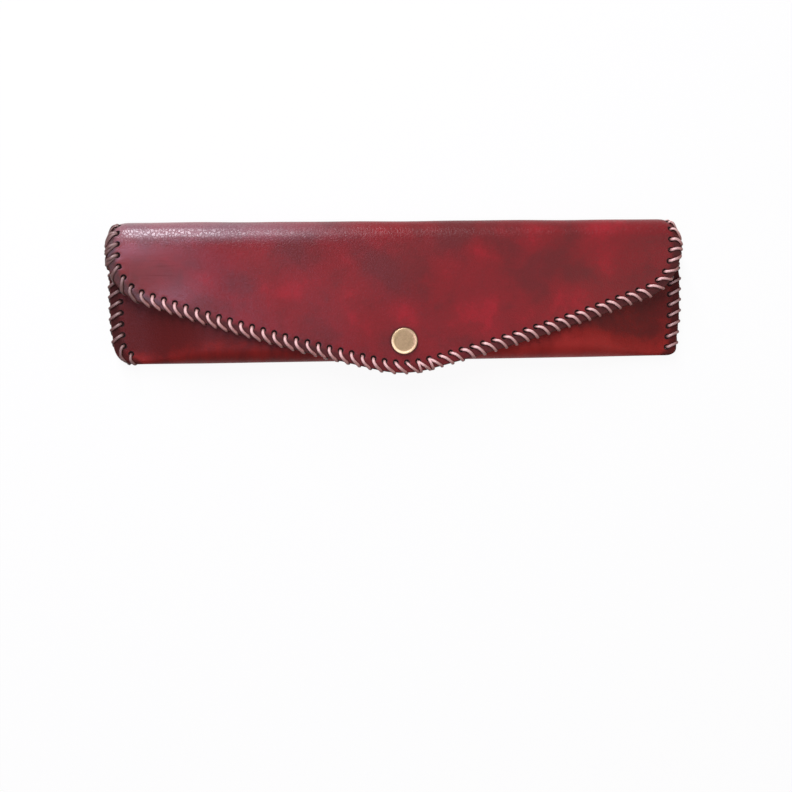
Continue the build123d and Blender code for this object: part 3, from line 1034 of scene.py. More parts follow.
class Shade:
    """A short way to place and join shader nodes in one tree."""

    def __init__(self, tree: bpy.types.NodeTree) -> None:
        """Holds the tree that nodes go into."""
        self.tree = tree

    def node(self, kind: str, settings: dict[str, object] | None = None, **inputs: object) -> bpy.types.Node:
        """Adds a node.

        Args:
            kind: The node's type, without its ShaderNode prefix.
            settings: Properties to set on it.
            **inputs: A number, colour or socket for each named input, with _ for a blank.

        Returns:
            The node.
        """
        made = self.tree.nodes.new("ShaderNode" + kind)
        for key, value in (settings or {}).items():
            setattr(made, key, value)
        for key, value in inputs.items():
            self.feed(made, key.replace("_", " "), value)
        return made

    def feed(self, node: bpy.types.Node, socket: str | int, value: object) -> None:
        """Sets or links one input of a node."""
        target = node.inputs[socket]
        if isinstance(value, bpy.types.NodeSocket):
            self.tree.links.new(value, target)
        else:
            target.default_value = value

    def fill(self, node: bpy.types.Node, *values: object) -> bpy.types.Node:
        """Sets or links a node's first inputs in their order."""
        for index, value in enumerate(values):
            self.feed(node, index, value)
        return node

    def math(self, operation: str, *values: object) -> bpy.types.NodeSocket:
        """The result of one operation on its two or three values."""
        return self.fill(self.node("Math", {"operation": operation}), *values).outputs[0]

    def times(self, a: object, b: object) -> bpy.types.NodeSocket:
        """The product of two values."""
        return self.math("MULTIPLY", a, b)

    def plus(self, a: object, b: object) -> bpy.types.NodeSocket:
        """The sum of two values."""
        return self.math("ADD", a, b)

    def vector(self, operation: str, *values: object) -> bpy.types.Node:
        """The node of one operation on its vectors."""
        return self.fill(self.node("VectorMath", {"operation": operation}), *values)

    def noise(self, place: object, scale: object, **more: float) -> bpy.types.NodeSocket:
        """A noise value over a place."""
        return self.node("TexNoise", Vector=place, Scale=scale, **more).outputs["Fac"]

    def mix(self, factor: object, a: object, b: object) -> bpy.types.NodeSocket:
        """A mix of two colours."""
        made = self.node("Mix", {"data_type": "RGBA", "clamp_factor": True})
        for index, value in ((0, factor), (6, a), (7, b)):
            self.feed(made, index, value)
        return made.outputs[2]

    def ramp(
        self, value: object, low: float, high: float, start: float = 0.0, end: float = 1.0
    ) -> bpy.types.NodeSocket:
        """A value spread from one range to another and held inside it."""
        made = self.node("MapRange", {"clamp": True, "interpolation_type": "SMOOTHSTEP"})
        return self.fill(made, value, low, high, start, end).outputs[0]

    def cover(self, share: object, under: bpy.types.Node, over: bpy.types.Node) -> bpy.types.NodeSocket:
        """A mix of two shaders."""
        return self.fill(self.node("MixShader"), share, under.outputs[0], over.outputs[0]).outputs[0]

    def bump(self, shader: bpy.types.Node, strength: float, distance: float, height: object) -> None:
        """Raises a shader's surface by a height."""
        made = self.node("Bump", Strength=strength, Distance=distance, Height=height)
        self.feed(shader, "Normal", made.outputs[0])

    def read(self, name: str, output: str = "Fac") -> bpy.types.NodeSocket:
        """A value noted on the mesh."""
        return self.node("Attribute", {"attribute_name": name}).outputs[output]


def fresh_tree(owner: bpy.types.Material | bpy.types.World) -> Shade:
    """Gives a material or a world an empty tree."""
    owner.use_nodes = True
    owner.node_tree.nodes.clear()
    return Shade(owner.node_tree)


def shared_group(
    name: str, inputs: dict[str, tuple[str, object]], outputs: dict[str, str]
) -> tuple[bpy.types.NodeTree, Shade, bpy.types.Node, bpy.types.Node]:
    """Starts a shader group with named inputs and outputs.

    Args:
        name: The group's name.
        inputs: For each input its kind (Float, Vector or Color) and its usual value.
        outputs: For each output its kind.

    Returns:
        The group, its Shade, its input node and its output node.
    """
    group = bpy.data.node_groups.new(name, "ShaderNodeTree")
    for label, (kind, value) in inputs.items():
        socket = group.interface.new_socket(label, in_out="INPUT", socket_type="NodeSocket" + kind)
        if value is not None:
            socket.default_value = value
    for label, kind in outputs.items():
        group.interface.new_socket(label, in_out="OUTPUT", socket_type="NodeSocket" + kind)
    given = group.nodes.new("NodeGroupInput")
    made = group.nodes.new("NodeGroupOutput")
    return group, Shade(group), given, made


def leather_grain_group() -> bpy.types.NodeTree:
    """Fine pores and creased cells of leather, as a height and a mask that is dark in the creases."""
    group, shade, given, made = shared_group(
        "leather_grain",
        {"Place": ("Vector", None), "Pore Size": ("Float", 1300.0), "Cell Size": ("Float", 640.0),
         "Crackle": ("Float", 0.3)},
        {"Height": "Float", "Cells": "Float"},
    )
    place = given.outputs["Place"]
    pores = shade.noise(place, given.outputs["Pore Size"], Detail=3.0, Roughness=0.6)
    warp = shade.node("TexNoise", Vector=place, Scale=260.0, Detail=2.0).outputs["Color"]
    bent = shade.vector("MULTIPLY_ADD", warp, (0.0028, 0.0028, 0.0028), place).outputs[0]
    cells = shade.node(
        "TexVoronoi", {"feature": "DISTANCE_TO_EDGE"}, Vector=bent, Scale=given.outputs["Cell Size"]
    )
    creases = shade.ramp(cells.outputs["Distance"], 0.0, 0.22)
    crackled = shade.times(creases, given.outputs["Crackle"])
    shade.feed(made, "Height", shade.plus(shade.times(pores, 0.35), crackled))
    shade.feed(made, "Cells", creases)
    return group


def dye_mottle_group() -> bpy.types.NodeTree:
    """Cloudy hand-rubbed dye: a slow value that goes from dark to bright over the surface, and a fine one."""
    group, shade, given, made = shared_group(
        "dye_mottle",
        {"Place": ("Vector", None), "Patch": ("Float", 0.5), "Cloud Size": ("Float", 34.0),
         "Blot Size": ("Float", 95.0)},
        {"Tone": "Float", "Smudge": "Float"},
    )
    place = given.outputs["Place"]
    cloud = shade.noise(place, given.outputs["Cloud Size"], Detail=2.0, Distortion=0.6)
    blot = shade.noise(place, given.outputs["Blot Size"], Detail=3.0, Distortion=0.4)
    fine = shade.noise(place, 620.0, Detail=4.0, Roughness=0.65)
    tone = shade.math("MULTIPLY_ADD", cloud, 0.7, given.outputs["Patch"])
    tone = shade.plus(tone, shade.times(blot, 0.5))
    tone = shade.plus(tone, shade.times(fine, 0.18))
    shade.feed(made, "Tone", shade.ramp(tone, 0.78, 1.62))
    shade.feed(made, "Smudge", fine)
    return group


# Finishes


def new_material(name: str) -> tuple[bpy.types.Material, Shade, bpy.types.Node]:
    """Makes a material with an empty tree, its Principled shader joined to its output."""
    material = bpy.data.materials.new(name)
    shade = fresh_tree(material)
    shader = shade.node("BsdfPrincipled")
    shade.node("OutputMaterial", Surface=shader.outputs[0])
    return material, shade, shader


@dataclass(frozen=True)
class GrainSide:
    """The dyed outer face of the hide."""

    dark: Colour = dye(96, 16, 20)
    middle: Colour = dye(120, 15, 22)
    bright: Colour = dye(150, 17, 30)
    # Dark colour for the edge darkening, which is partly a real edge dye and partly painted shade, and for
    # the painted shade round the holes and round the snap's cap.
    edge: Colour = dye(46, 13, 11)
    # Painted highlight: a pale lilac laid over the front crease's band, where the window light catches it.
    painted_sheen: Colour = dye(150, 120, 134)
    roughness: float = 0.39
    specular: float = 0.28
    snap_shadow_at: tuple[float, float, float] | None = None

    def ring(self, shade: Shade, place: bpy.types.NodeSocket) -> bpy.types.NodeSocket:
        """A mask of the painted contact shadow, a dark ring round the snap's cap."""
        flat = shade.vector("MULTIPLY", place, (1.0, 1.0, 0.0)).outputs[0]
        away = shade.vector("DISTANCE", flat, self.snap_shadow_at).outputs["Value"]
        return shade.ramp(away, 0.0058, 0.0076, 0.8, 0.0)

    def material(
        self, name: str, grain: bpy.types.NodeTree, mottle: bpy.types.NodeTree
    ) -> bpy.types.Material:
        """Makes the material from the shared grain and mottle groups."""
        material, shade, shader = new_material(name)
        place = shade.read("flat_place", "Vector")
        clouds = shade.node("Group", {"node_tree": mottle}, Place=place, Patch=shade.read("dye_and_painted_shade"))
        tone, smudge = clouds.outputs["Tone"], clouds.outputs["Smudge"]
        low = shade.mix(shade.ramp(tone, 0.0, 0.55), self.dark, self.middle)
        colour = shade.mix(shade.ramp(tone, 0.5, 1.0), low, self.bright)
        near_edge = shade.ramp(shade.read("edge_near"), 0.24, 0.46, 0.9, 0.0)
        # Painted shade: the grain is darkened in a narrow ring round each hole.
        near_hole = shade.ramp(shade.read("hole_near"), 0.17, 0.3, 0.85, 0.0)
        # Darker towards the cut edge: partly a real edge dye, partly painted shade between the lace strands.
        worn = shade.times(near_edge, shade.ramp(smudge, 0.2, 0.7, 0.7, 1.0))
        worn = shade.times(worn, shade.read("edge_darkening"))
        streaks = shade.vector("MULTIPLY", place, (70.0, 900.0, 1.0)).outputs[0]
        scratched = shade.ramp(shade.noise(streaks, 1.0, Detail=1.0), 0.5, 0.68, 0.0, 0.6)
        scratched = shade.times(scratched, shade.read("scuffed"))
        # Laid over the dye in turn: real scratches, the crease's painted highlight, the edge darkening that
        # is partly painted shade, painted shade round the holes and the snap's painted shadow.
        marks_and_painted_light = [(scratched, self.dark), (shade.read("painted_sheen"), self.painted_sheen), (worn, self.edge)]
        marks_and_painted_light.append((near_hole, self.edge))
        # Painted contact shadow round the snap's cap.
        if self.snap_shadow_at is not None:
            marks_and_painted_light.append((self.ring(shade, place), self.edge))
        for share, overlay in marks_and_painted_light:
            colour = shade.mix(share, colour, overlay)
        shade.feed(shader, "Base Color", colour)
        crease = shade.read("crease")
        crackle = shade.math("MULTIPLY_ADD", crease, 1.7, 0.1)
        skin = shade.node("Group", {"node_tree": grain}, Place=place, Crackle=crackle)
        shade.bump(shader, 0.5, 0.00035, skin.outputs["Height"])
        smooth = shade.ramp(smudge, 0.3, 0.7, self.roughness - 0.05, self.roughness + 0.06)
        smooth = shade.math("SUBTRACT", smooth, shade.times(crease, 0.1))
        shade.feed(shader, "Roughness", shade.math("MULTIPLY_ADD", near_edge, 0.25, smooth))
        broken = shade.times(shade.ramp(skin.outputs["Cells"], 0.0, 1.0, 0.8, 0.0), crease)
        polish = shade.times(shade.read("burnish"), shade.math("SUBTRACT", 1.0, broken))
        polish = shade.times(polish, shade.math("SUBTRACT", 1.0, scratched))
        shade.feed(shader, "Coat Weight", polish)
        shade.feed(shader, "Coat Roughness", 0.28)
        shade.feed(shader, "Specular IOR Level", self.specular)
        return material


@dataclass(frozen=True)
class FleshSide:
    """The rough inner face of the hide and its cut edge."""

    pale: Colour = dye(132, 78, 64)
    dark: Colour = dye(88, 44, 38)
    roughness: float = 0.9
    nap: float = 900.0

    def material(self, name: str) -> bpy.types.Material:
        """Makes the material."""
        material, shade, shader = new_material(name)
        place = shade.read("flat_place", "Vector")
        fibres = shade.noise(place, self.nap, Detail=5.0, Roughness=0.7)
        tone = shade.plus(shade.times(fibres, 0.6), shade.noise(place, 60.0, Detail=3.0))
        colour = shade.mix(shade.ramp(tone, 0.55, 1.05), self.dark, self.pale)
        shade.feed(shader, "Base Color", colour)
        shade.feed(shader, "Roughness", shade.ramp(tone, 0.5, 1.1, self.roughness, self.roughness - 0.12))
        shade.bump(shader, 0.6, 0.0003, fibres)
        shade.feed(shader, "Specular IOR Level", 0.25)
        return material


@dataclass(frozen=True)
class LaceFinish:
    """Soft lacing, paler where it is worn and with painted highlights on its strands' crowns, with painted
    shade on their sides and towards the case's ends, and darker in its fibres.
    """

    # Pale colour of wear with a painted highlight.
    wear_and_painted_highlight: Colour = dye(255, 210, 203)
    pale: Colour = dye(164, 108, 100)
    dark: Colour = dye(100, 56, 50)
    # Painted shade laid on the strands towards the case's ends.
    painted_end_shade: Colour = dye(50, 27, 23)
    # Painted shade on the sides and underside of each strand.
    hollow: Colour = dye(54, 22, 21)
    roughness: float = 0.32

    def material(self, name: str) -> bpy.types.Material:
        """Makes the material."""
        material, shade, shader = new_material(name)
        place = shade.read("lace_place", "Vector")
        stretched = shade.vector("MULTIPLY", place, (420.0, 9.0, 3.0)).outputs[0]
        fibres = shade.noise(stretched, 1.0, Detail=3.0, Roughness=0.6)
        tone = shade.plus(shade.times(fibres, 0.7), shade.noise(place, 140.0, Detail=2.0))
        colour = shade.mix(shade.ramp(tone, 0.55, 1.1), self.dark, self.pale)
        crown = shade.read("crown")
        # Painted highlight along the crown of each strand, palest after the hole, partly also wear.
        worn = shade.times(shade.read("wear_and_painted_highlight"), shade.ramp(tone, 0.5, 1.0, 0.55, 1.0))
        colour = shade.mix(shade.times(worn, shade.ramp(crown, 0.2, 0.9)), colour, self.wear_and_painted_highlight)
        # Painted shade towards the case's ends.
        colour = shade.mix(shade.times(shade.read("painted_end_shade"), 0.66), colour, self.painted_end_shade)
        # Painted shade on the strand's sides and underside, away from its crown.
        colour = shade.mix(shade.ramp(crown, -0.2, 0.7, 0.8, 0.0), colour, self.hollow)
        shade.feed(shader, "Base Color", colour)
        shade.feed(shader, "Roughness", shade.ramp(tone, 0.5, 1.1, self.roughness + 0.12, self.roughness))
        shade.bump(shader, 0.4, 0.0002, fibres)
        return material


@dataclass(frozen=True)
class BrassFinish:
    """Antique brass with a dull film in its hollows."""

    bright: Colour = dye(160, 137, 107)
    dull: Colour = dye(136, 117, 90)
    # Painted highlight laid on one side of the cap's rim.
    rim: Colour = dye(244, 214, 178)
    roughness: float = 0.34

    def material(self, name: str) -> bpy.types.Material:
        """Makes the material."""
        material, shade, shader = new_material(name)
        place = shade.node("TexCoord").outputs["Object"]
        film = shade.noise(place, 520.0, Detail=5.0, Roughness=0.6)
        marks = shade.noise(place, 2600.0, Detail=2.0)
        tone = shade.plus(film, shade.times(marks, 0.3))
        colour = shade.mix(shade.ramp(tone, 0.45, 0.85), self.dull, self.bright)
        # The rim's painted highlight over the brass.
        shade.feed(shader, "Base Color", shade.mix(shade.read("rim"), colour, self.rim))
        rough = shade.ramp(tone, 0.45, 0.9, self.roughness + 0.14, self.roughness - 0.05)
        shade.feed(shader, "Roughness", rough)
        shade.bump(shader, 0.15, 0.0001, marks)
        shade.feed(shader, "Metallic", 1.0)
        return material


# The case


@dataclass
class FlapHide:
    """The flap with its front crease and half of the wall behind it.

    Each of its patches is an x, a y and a radius on the flat hide, and how much brighter (above 0) or
    darker (below 0) its dye is there.
    """

    sizes: CaseSizes
    surface: FlapSurface
    stitches: Sequence[Stitch]
    fold_stitches: Sequence[Stitch]
    usual_tone: float = 0.42
    patch_share: float = 0.75
    patches: tuple[tuple[float, float, float, float], ...] = (
        (-82, 21, 7, 0.3), (-67, 23, 5, 0.25), (-91, 8, 7, 0.25), (-53, 0, 11, 0.3),
        (-22, -11, 9, 0.3), (-10, 30, 8, 0.25), (1, -7, 8, 0.25), (24, 10, 11, 0.3),
        (41, 22, 7, 0.3), (36, -11, 9, 0.3), (63, 27, 9, 0.3), (98, 31, 11, 0.3),
        (79, -1, 8, 0.35), (61, -9, 6, 0.2), (100, 13, 6, 0.2), (-50, 20, 8, -0.35),
        (-74, 8, 9, -0.3), (-95, -1, 6, -0.25), (-6, 13, 10, -0.3), (-45, 28, 7, -0.2),
        (26, 27, 10, -0.3), (51, 24, 6, -0.2), (68, 11, 11, -0.16), (54, 5, 8, -0.16),
        (75, 26, 7, -0.2), (87, 11, 7, -0.2),
    )

    def outline(self) -> tuple[np.ndarray, np.ndarray]:
        """The sheet's outline, counter-clockwise, and which of its edges meet the pocket's sheet."""
        s = self.sizes
        low = FlapOutline(s).line(s.split_y)
        end = s.join_y
        keep = [0]
        for k in range(1, len(low)):
            if np.hypot(*(low[k] - low[keep[-1]])) > 0.9 or k == len(low) - 1:
                keep.append(k)
        low = low[keep]
        ups = np.arange(s.split_y + 0.7, end, 0.7)
        right = spots(s.half, np.append(ups, end))
        across = spots(np.linspace(s.half, -s.half, 140)[1:], end)
        loop = np.concatenate([low, right, across, spots(-s.half, ups[::-1])])
        first = len(low) + len(right) - 1
        joined = np.zeros(len(loop), bool)
        joined[first : first + len(across)] = True
        return loop, joined

    def build(self, materials: Sequence[bpy.types.Material]) -> bpy.types.Object:
        """Makes the flap's sheet and hides the solids that it stands for."""
        s = self.sizes
        outline, joined = self.outline()
        holes = [stitch.place for stitch in list(self.stitches) + list(self.fold_stitches)]
        holes = np.array([h for h in holes if h[1] < s.join_y - 2])
        rows = np.concatenate([
            np.arange(s.bottom_y - s.point_drop, s.front_y - 2, 1.9),
            np.arange(s.front_y - 1.5, s.join_y, 0.75),
        ])
        sheet = HideSheet(
            outline=outline,
            joined=joined,
            holes=holes,
            columns=np.arange(-s.half - 0.2, s.half + 1, 2.0),
            rows=rows,
            place=self.surface.place,
            leather=s.leather,
            hole_radius=s.hole_radius,
        )
        piece = sheet.build("flap_hide", materials)
        x, y, _ = flat_places(piece)
        # On the flap this value holds only the dye's own patches.
        tone = np.full(len(x), self.usual_tone)
        for at_x, at_y, radius, brighter in self.patches:
            away = (x - at_x) ** 2 + 1.5 * (y - at_y) ** 2
            tone += self.patch_share * brighter * np.exp(-away / (1.4 * radius**2))
        note(piece, "dye_and_painted_shade", tone)
        leftwards = 0.12 + 0.88 * ease((16 - x) / 110)
        note(piece, "crease", np.exp(-(((y - s.front_y - 3.0) / 4.5) ** 2)) * leftwards)
        band = np.exp(-(((y - s.front_y - 4.5) / 5.4) ** 4)) * ease((-2 - x) / 84)
        left_end = 0.58 * ease((-80 - x) / 44) * ease((y + 12) / 18)
        note(piece, "burnish", np.clip(band + left_end, 0, 1))
        # Painted highlight: the pale lilac goes on over the front crease's band.
        note(piece, "painted_sheen", 0.36 * band)
        note(piece, "scuffed", np.exp(-(((x + 112.5) / 9) ** 2) - ((y - 13.2) / 6) ** 2))
        # The edge darkening, partly painted shade, is lessened at the point, where the grain shows red
        # between the strands.
        note(piece, "edge_darkening", 1 - 0.6 * np.exp(-(((x - s.point_x - 6) / 34) ** 4)))
        bend(piece, s)
        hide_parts("flap_leather", "top_fold")
        log.info("flap hide: %d faces, %d holes", len(piece.data.polygons), len(holes))
        return piece


@dataclass
class PocketHide:
    """The pocket with the back crease and half of the wall over it."""

    sizes: CaseSizes
    surface: PocketSurface
    stitches: Sequence[Stitch]
    # Tones of the pocket's grain: the usual tone, and how much lighter the front is painted towards the
    # bottom and towards the right, where the flap shades it less.
    usual_tone: float = 0.4
    low_painted_light: float = 0.4
    right_painted_light: float = 0.3

    def reach(self, run: float, corner: float) -> float:
        """How far out the sheet goes at a run, less at a rounded bottom corner."""
        s = self.sizes
        y = float(self.surface.place(np.array([s.half]), np.array([run]), np.array([0.0]))[0][1])
        below = s.bottom_y + corner - y
        if run < self.surface.stops[3] or below <= 0:
            return s.half
        return s.half - corner + math.sqrt(max(corner**2 - below**2, 0.0))

    def outline(self) -> tuple[np.ndarray, np.ndarray]:
        """The sheet's outline, counter-clockwise, and which of its edges meet the flap's sheet."""
        s = self.sizes
        stops = self.surface.stops
        curled = np.arange(stops[4], stops[5] - 10, 2.0)
        runs = np.concatenate([
            np.arange(0, stops[4], 0.8),
            curled,
            np.arange(curled[-1] + 0.7, stops[6] + 10, 0.45),
            np.arange(stops[6] + 10.5, stops[7], 2.0),
            [stops[7]],
        ])
        right = spots([self.reach(r, s.right_corner) for r in runs], runs)
        mouth = spots(np.linspace(s.half, -s.half, 140)[1:-1], stops[7])
        left = spots([-self.reach(r, s.left_corner) for r in runs[::-1]], runs[::-1])
        join = spots(np.linspace(-s.half, s.half, 140)[1:-1], 0.0)
        loop = np.concatenate([right, mouth, left, join])
        joined = np.zeros(len(loop), bool)
        joined[len(loop) - len(join) - 1 :] = True
        return loop, joined

    def build(self, materials: Sequence[bpy.types.Material]) -> bpy.types.Object:
        """Makes the pocket's sheet and hides the solid that it stands for."""
        s = self.sizes
        stops = self.surface.stops
        outline, joined = self.outline()
        holes = [(h.place[0], self.surface.on_back(h.place[1])) for h in self.stitches]
        through_both = [h.place for h in self.stitches if h.place[1] < s.mouth_y - s.below_mouth]
        holes += [(x, self.surface.on_front(y)) for x, y in through_both]
        rows = np.concatenate([
            np.arange(0.5, stops[3], 0.55),
            np.arange(stops[3], stops[4], 1.0),
            np.arange(stops[4], stops[5], 2.2),
            np.arange(stops[5], stops[6], 0.36),
            np.arange(stops[6] + 0.5, stops[7], 2.0),
        ])
        sheet = HideSheet(
            outline=outline,
            joined=joined,
            holes=np.array(holes),
            columns=np.arange(-s.half + 0.3, s.half, 2.1),
            rows=rows,
            place=self.surface.place,
            leather=s.leather,
            hole_radius=s.hole_radius,
        )
        piece = sheet.build("pocket_hide", materials)
        x, run, _ = flat_places(piece)
        # Painted shade: the front panel is darkest up under the flap and on the left, where the flap shades
        # it, and lighter towards the bottom and the right; the back keeps the usual tone.
        front = ease((run - stops[5]) / 3)
        low = ease((stops[6] + 12 - run) / 12)
        tone = front * (self.low_painted_light * low - self.usual_tone + self.right_painted_light * ease((x - 10) / 60))
        note(piece, "dye_and_painted_shade", self.usual_tone + tone)
        note(piece, "crease", 0.3 * np.exp(-(((run - stops[1] - 3) / 4) ** 2)))
        for name, share in (("burnish", 0.0), ("painted_sheen", 0.0), ("scuffed", 0.0), ("edge_darkening", 1.0)):
            note(piece, name, np.full(len(x), share))
        bend(piece, s)
        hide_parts("pocket_leather")
        log.info("pocket hide: %d faces, %d holes", len(piece.data.polygons), len(holes))
        return piece


@dataclass
class Lacing:
    """The four lengths of lace: one down each seam, and one down each side of the fold and the flap."""

    sizes: CaseSizes
    surface: FlapSurface
    plan: StitchPlan

    def add(
        self, name: str, nodes: Sequence[str], lace: WhipLace, material: bpy.types.Material
    ) -> bpy.types.Object:
        """Makes one length of lace that stands for its nodes."""
        piece = lace.build(name, material)
        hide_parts(*nodes)
        log.info("%s: %d faces", name, len(piece.data.polygons))
        return piece

    def build(self, material: bpy.types.Material) -> None:
        """Makes all four."""
        s = self.sizes
        inset = s.hole_inset
        seam = SeamSurface(PocketSurface(s))
        flap = self.plan.flap()
        point = min(range(len(flap)), key=lambda k: flap[k].place[1])
        for side, word in ((-1, "left"), (1, "right")):
            closing = self.plan.corner() if side < 0 else None
            lace = WhipLace(
                self.plan.seam(side), seam.place, inset, seed=20 + side, closing=closing,
                darkening=1.0 if side < 0 else 0.6, darkening_from=side,
            )
            piece = self.add(f"seam_lacing_{word}", [f"pocket_lace_{word}"], lace, material)
            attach(piece, "pocket")
        fold = self.plan.fold(-1)
        packed = frozenset(range(len(fold) - 4, len(fold) + 3))
        left = WhipLace(
            fold + flap[: point + 1], self.surface.place, inset, seed=41, closing=flap[point + 1],
            doubled=packed, packed=True, pitch=s.stitch_pitch,
        )
        right = WhipLace(
            flap[point + 1 :] + self.plan.fold(1), self.surface.place, inset, seed=42,
            doubled=frozenset((0, 1, len(flap) - point - 1, len(flap) - point)),
        )
        for lace, word in ((left, "left"), (right, "right")):
            nodes = [f"flap_lace_{word}", f"fold_lace_{word}"]
            piece = self.add(f"flap_lacing_{word}", nodes, lace, material)
            bend(piece, s)


@dataclass
class SnapSet:
    """The snap: its cap is made here, and its four hidden pieces keep their solids."""

    sizes: CaseSizes
    cap_radius: float = 6.25
    cap_height: float = 2.1
    face_radius: float = 5.1
    recess: float = 0.18
    press_depth: float = 0.3
    # Painted highlight on the rim: the way it lies towards, and its least share.
    highlight_towards: float = 236.0
    least_highlight: float = 0.18

    def cap_profile(self) -> list[tuple[float, float]]:
        """Radii and heights from the middle of the underside, out and up to the middle of the face."""
        base = self.sizes.flap_top
        top = base + self.cap_height
        rim = (self.cap_radius - self.face_radius) / 2
        middle = self.cap_radius - rim
        outer = [
            (middle + rim * math.cos(a), top - rim + rim * math.sin(a))
            for a in np.linspace(0, math.pi * 0.62, 11)
        ]
        inner = [(self.face_radius, top - self.recess / 2), (self.face_radius - 0.45, top - self.recess)]
        face = [(r, top - self.recess + 0.04) for r in (3.4, 2.2, 1.0, 0.0)]
        low = base - self.press_depth
        under = [(0.0, low), (self.cap_radius - 0.7, low), (self.cap_radius - 0.25, base)]
        return under + [(self.cap_radius, base + 0.5)] + outer + inner + face

    def build(self, material: bpy.types.Material) -> None:
        """Makes the cap and gives every snap node its finish."""
        centre = (self.sizes.point_x, self.sizes.snap_y)
        cap = turned("snap_cap_face", centre, self.cap_profile(), material)
        off = np.array([v.co[:2] for v in cap.data.vertices]) / MM - centre
        radii, way = np.hypot(*off.T), np.arctan2(off[:, 1], off[:, 0])
        # Painted highlight: the cap's rim is palest towards the lower left, where the light falls on it.
        towards = np.clip(np.cos(way - math.radians(self.highlight_towards)), 0, 1) ** 1.5
        worn = self.least_highlight + (1 - self.least_highlight) * towards
        worn = worn * ease((radii - self.face_radius + 0.5) / 0.7)
        note(cap, "rim", worn * (radii < self.cap_radius - 0.12))
        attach(cap, "flap")
        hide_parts("snap_cap")
        for name in ("snap_socket", "snap_spring", "snap_stud", "snap_eyelet"):
            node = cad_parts[name]
            node.data.materials.clear()
            node.data.materials.append(material)
        log.info("snap: cap with %d faces", len(cap.data.polygons))


# The studio


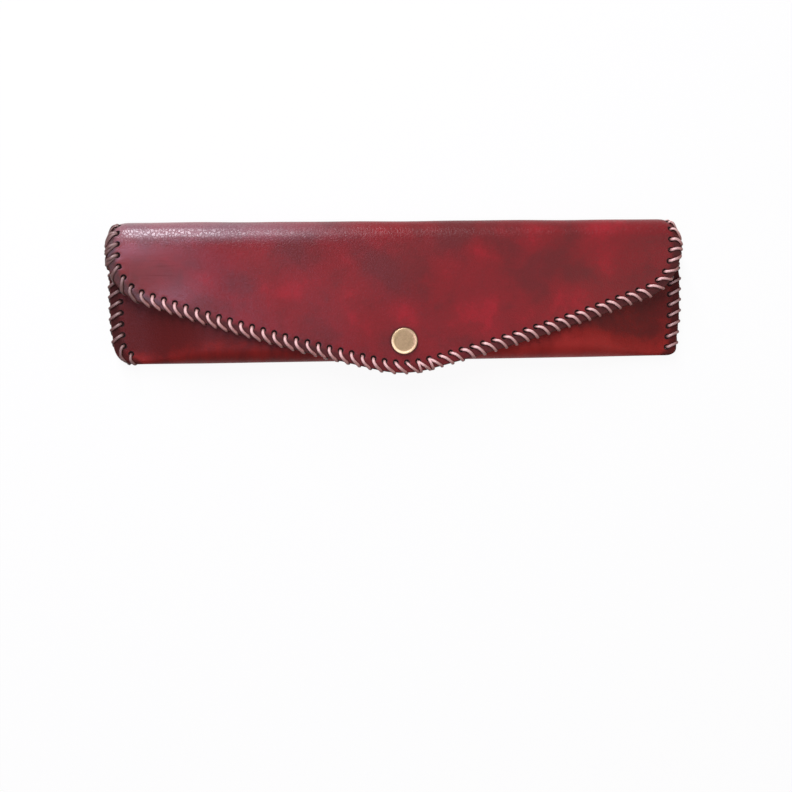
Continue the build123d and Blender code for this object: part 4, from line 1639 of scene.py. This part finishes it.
@dataclass
class Studio:
    """The pale floor, the soft light and the camera."""

    camera_place: tuple[float, float, float] = (-0.04788, -0.00113, 0.55968)
    yaw: float = 0.0834
    pitch: float = 0.0837
    roll: float = 0.0128
    focal_pixels: float = 1146.95
    image_pixels: float = 792.0
    floor_white: float = 0.9
    floor_share: float = 0.93
    floor_reach: float = 4.0
    floor_drop: float = 0.0002

    def seen(self, shade: Shade) -> bpy.types.NodeSocket:
        """1 for what the camera sees, itself or by a reflection or through glass, and 0 for other light."""
        rays = shade.node("LightPath").outputs
        seen = shade.math("MAXIMUM", rays["Is Camera Ray"], rays["Is Glossy Ray"])
        return shade.math("MAXIMUM", seen, rays["Is Transmission Ray"])

    def floor(self) -> None:
        """Lays the floor, white to the camera and in reflections, which keeps the case's shadow."""
        material = bpy.data.materials.new("pale_floor")
        shade = fresh_tree(material)
        grain = shade.noise(shade.node("TexCoord").outputs["Object"], 14.0, Detail=2.0)
        greys = [(level,) * 3 + (1.0,) for level in (self.floor_white, self.floor_white + 0.02)]
        paper = shade.node("BsdfDiffuse", Color=shade.mix(grain, *greys))
        glow = shade.node("Emission", Color=(1.0, 1.0, 1.0, 1.0), Strength=1.0)
        share = shade.times(self.seen(shade), self.floor_share)
        shade.node("OutputMaterial", Surface=shade.cover(share, paper, glow))
        corners = spots([-1, 1, 1, -1], [-1, -1, 1, 1]) * self.floor_reach
        corners = np.column_stack([corners, np.full(4, -self.floor_drop)])
        new_piece("floor", corners / MM, [[0, 1, 2, 3]], [material])

    def world(self) -> None:
        """Sets a soft even sky, white to the camera and in reflections."""
        world = bpy.data.worlds.new("studio")
        bpy.context.scene.world = world
        shade = fresh_tree(world)
        soft = shade.node("Background", Color=(0.96, 0.97, 1.0, 1.0), Strength=0.2)
        white = shade.node("Background", Color=(1.0, 1.0, 1.0, 1.0), Strength=1.0)
        shade.node("OutputWorld", Surface=shade.cover(self.seen(shade), soft, white))

    def lamp(
        self, name: str, place: tuple[float, float, float], aim: tuple[float, float, float],
        size: tuple[float, float], power: float, colour: tuple[float, float, float] = (1.0, 1.0, 1.0),
    ) -> None:
        """Hangs one soft rectangular lamp.

        Args:
            name: The lamp's name.
            place: Where it hangs.
            aim: The point that it looks at.
            size: Its width and height.
            power: Its power in watts.
            colour: Its light's colour.
        """
        light = bpy.data.lights.new(name, "AREA")
        light.shape = "RECTANGLE"
        light.size, light.size_y = size
        light.energy = power
        light.color = colour
        lamp = bpy.data.objects.new(name, light)
        bpy.context.scene.collection.objects.link(lamp)
        lamp.location = place
        lamp.rotation_euler = (Vector(aim) - Vector(place)).to_track_quat("-Z", "Y").to_euler()

    def lamps(self) -> None:
        """Hangs a cool window light over the top fold, a sheen over the left end and a low warm fill."""
        self.lamp("window", (-0.25, 0.71, 0.66), (-0.11, 0.03, 0.0), (0.18, 1.0), 11.0, (0.93, 0.91, 1.0))
        self.lamp("sheen", (-0.395, -0.13, 1.17), (-0.12, 0.01, 0.0), (0.26, 0.4), 2.8, (0.84, 0.66, 1.0))
        self.lamp("fill", (0.8, -0.3, 1.0), (0.0, 0.0, 0.0), (0.9, 0.9), 2.6, (1.0, 0.96, 0.9))

    def camera(self) -> None:
        """Stands the camera where the case is seen as it should be."""
        roll, pitch = Matrix.Rotation(self.roll, 3, "Z"), Matrix.Rotation(self.pitch, 3, "X")
        turn = roll @ pitch @ Matrix.Rotation(self.yaw, 3, "Y")
        data = bpy.data.cameras.new("camera")
        data.sensor_width = 36.0
        data.sensor_fit = "HORIZONTAL"
        data.lens = self.focal_pixels / self.image_pixels * data.sensor_width
        data.clip_start = 0.01
        camera = bpy.data.objects.new("camera", data)
        bpy.context.scene.collection.objects.link(camera)
        camera.matrix_world = Matrix.Translation(Vector(self.camera_place)) @ turn.transposed().to_4x4()
        bpy.context.scene.camera = camera

    def build(self) -> None:
        """Sets up the whole studio."""
        self.floor()
        self.world()
        self.lamps()
        self.camera()
        bpy.context.scene.view_settings.view_transform = "Standard"
        log.info("studio: floor, world, three lamps and the camera")


@dataclass
class MalletCase:
    """The whole case."""

    sizes: CaseSizes = field(default_factory=CaseSizes)

    def build(self) -> None:
        """Builds its hides, laces and snap."""
        plan = StitchPlan(self.sizes)
        surface = FlapSurface(self.sizes)
        grain, mottle = leather_grain_group(), dye_mottle_group()
        snap_at = (self.sizes.point_x * MM, self.sizes.snap_y * MM, 0.0)
        hide = [
            GrainSide(snap_shadow_at=snap_at).material("flap_grain_side", grain, mottle),
            FleshSide().material("hide_flesh_side"),
            FleshSide(pale=dye(84, 38, 32), dark=dye(50, 20, 18), roughness=0.75).material("hide_cut_edge"),
            # Painted shade: the hole walls are given far darker than the cut edge, for the shade inside the
            # holes.
            FleshSide(pale=dye(40, 12, 14), dark=dye(24, 8, 10), roughness=0.9).material("punched_hole"),
        ]
        # The pocket's grain side: less glossy than the flap, and its colours given darker than the flap's as
        # painted shade from the flap.
        less_worn_painted_darker = GrainSide(
            dark=dye(82, 12, 11), middle=dye(126, 24, 20), bright=dye(144, 34, 30),
            roughness=0.46, specular=0.16,
        )
        folds = plan.fold(-1) + plan.fold(1)
        FlapHide(self.sizes, surface, plan.flap(), folds).build(hide)
        hide[0] = less_worn_painted_darker.material("pocket_grain_side", grain, mottle)
        PocketHide(self.sizes, PocketSurface(self.sizes), plan.seam(-1) + plan.seam(1)).build(hide)
        Lacing(self.sizes, surface, plan).build(LaceFinish().material("lace"))
        SnapSet(self.sizes).build(BrassFinish().material("snap_brass"))


def main() -> None:
    """Builds the studio and the case."""
    logging.basicConfig(level=logging.INFO, format="%(name)s: %(message)s")
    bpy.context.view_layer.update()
    Studio().build()
    MalletCase().build()


if __name__ == "__main__":
    main()
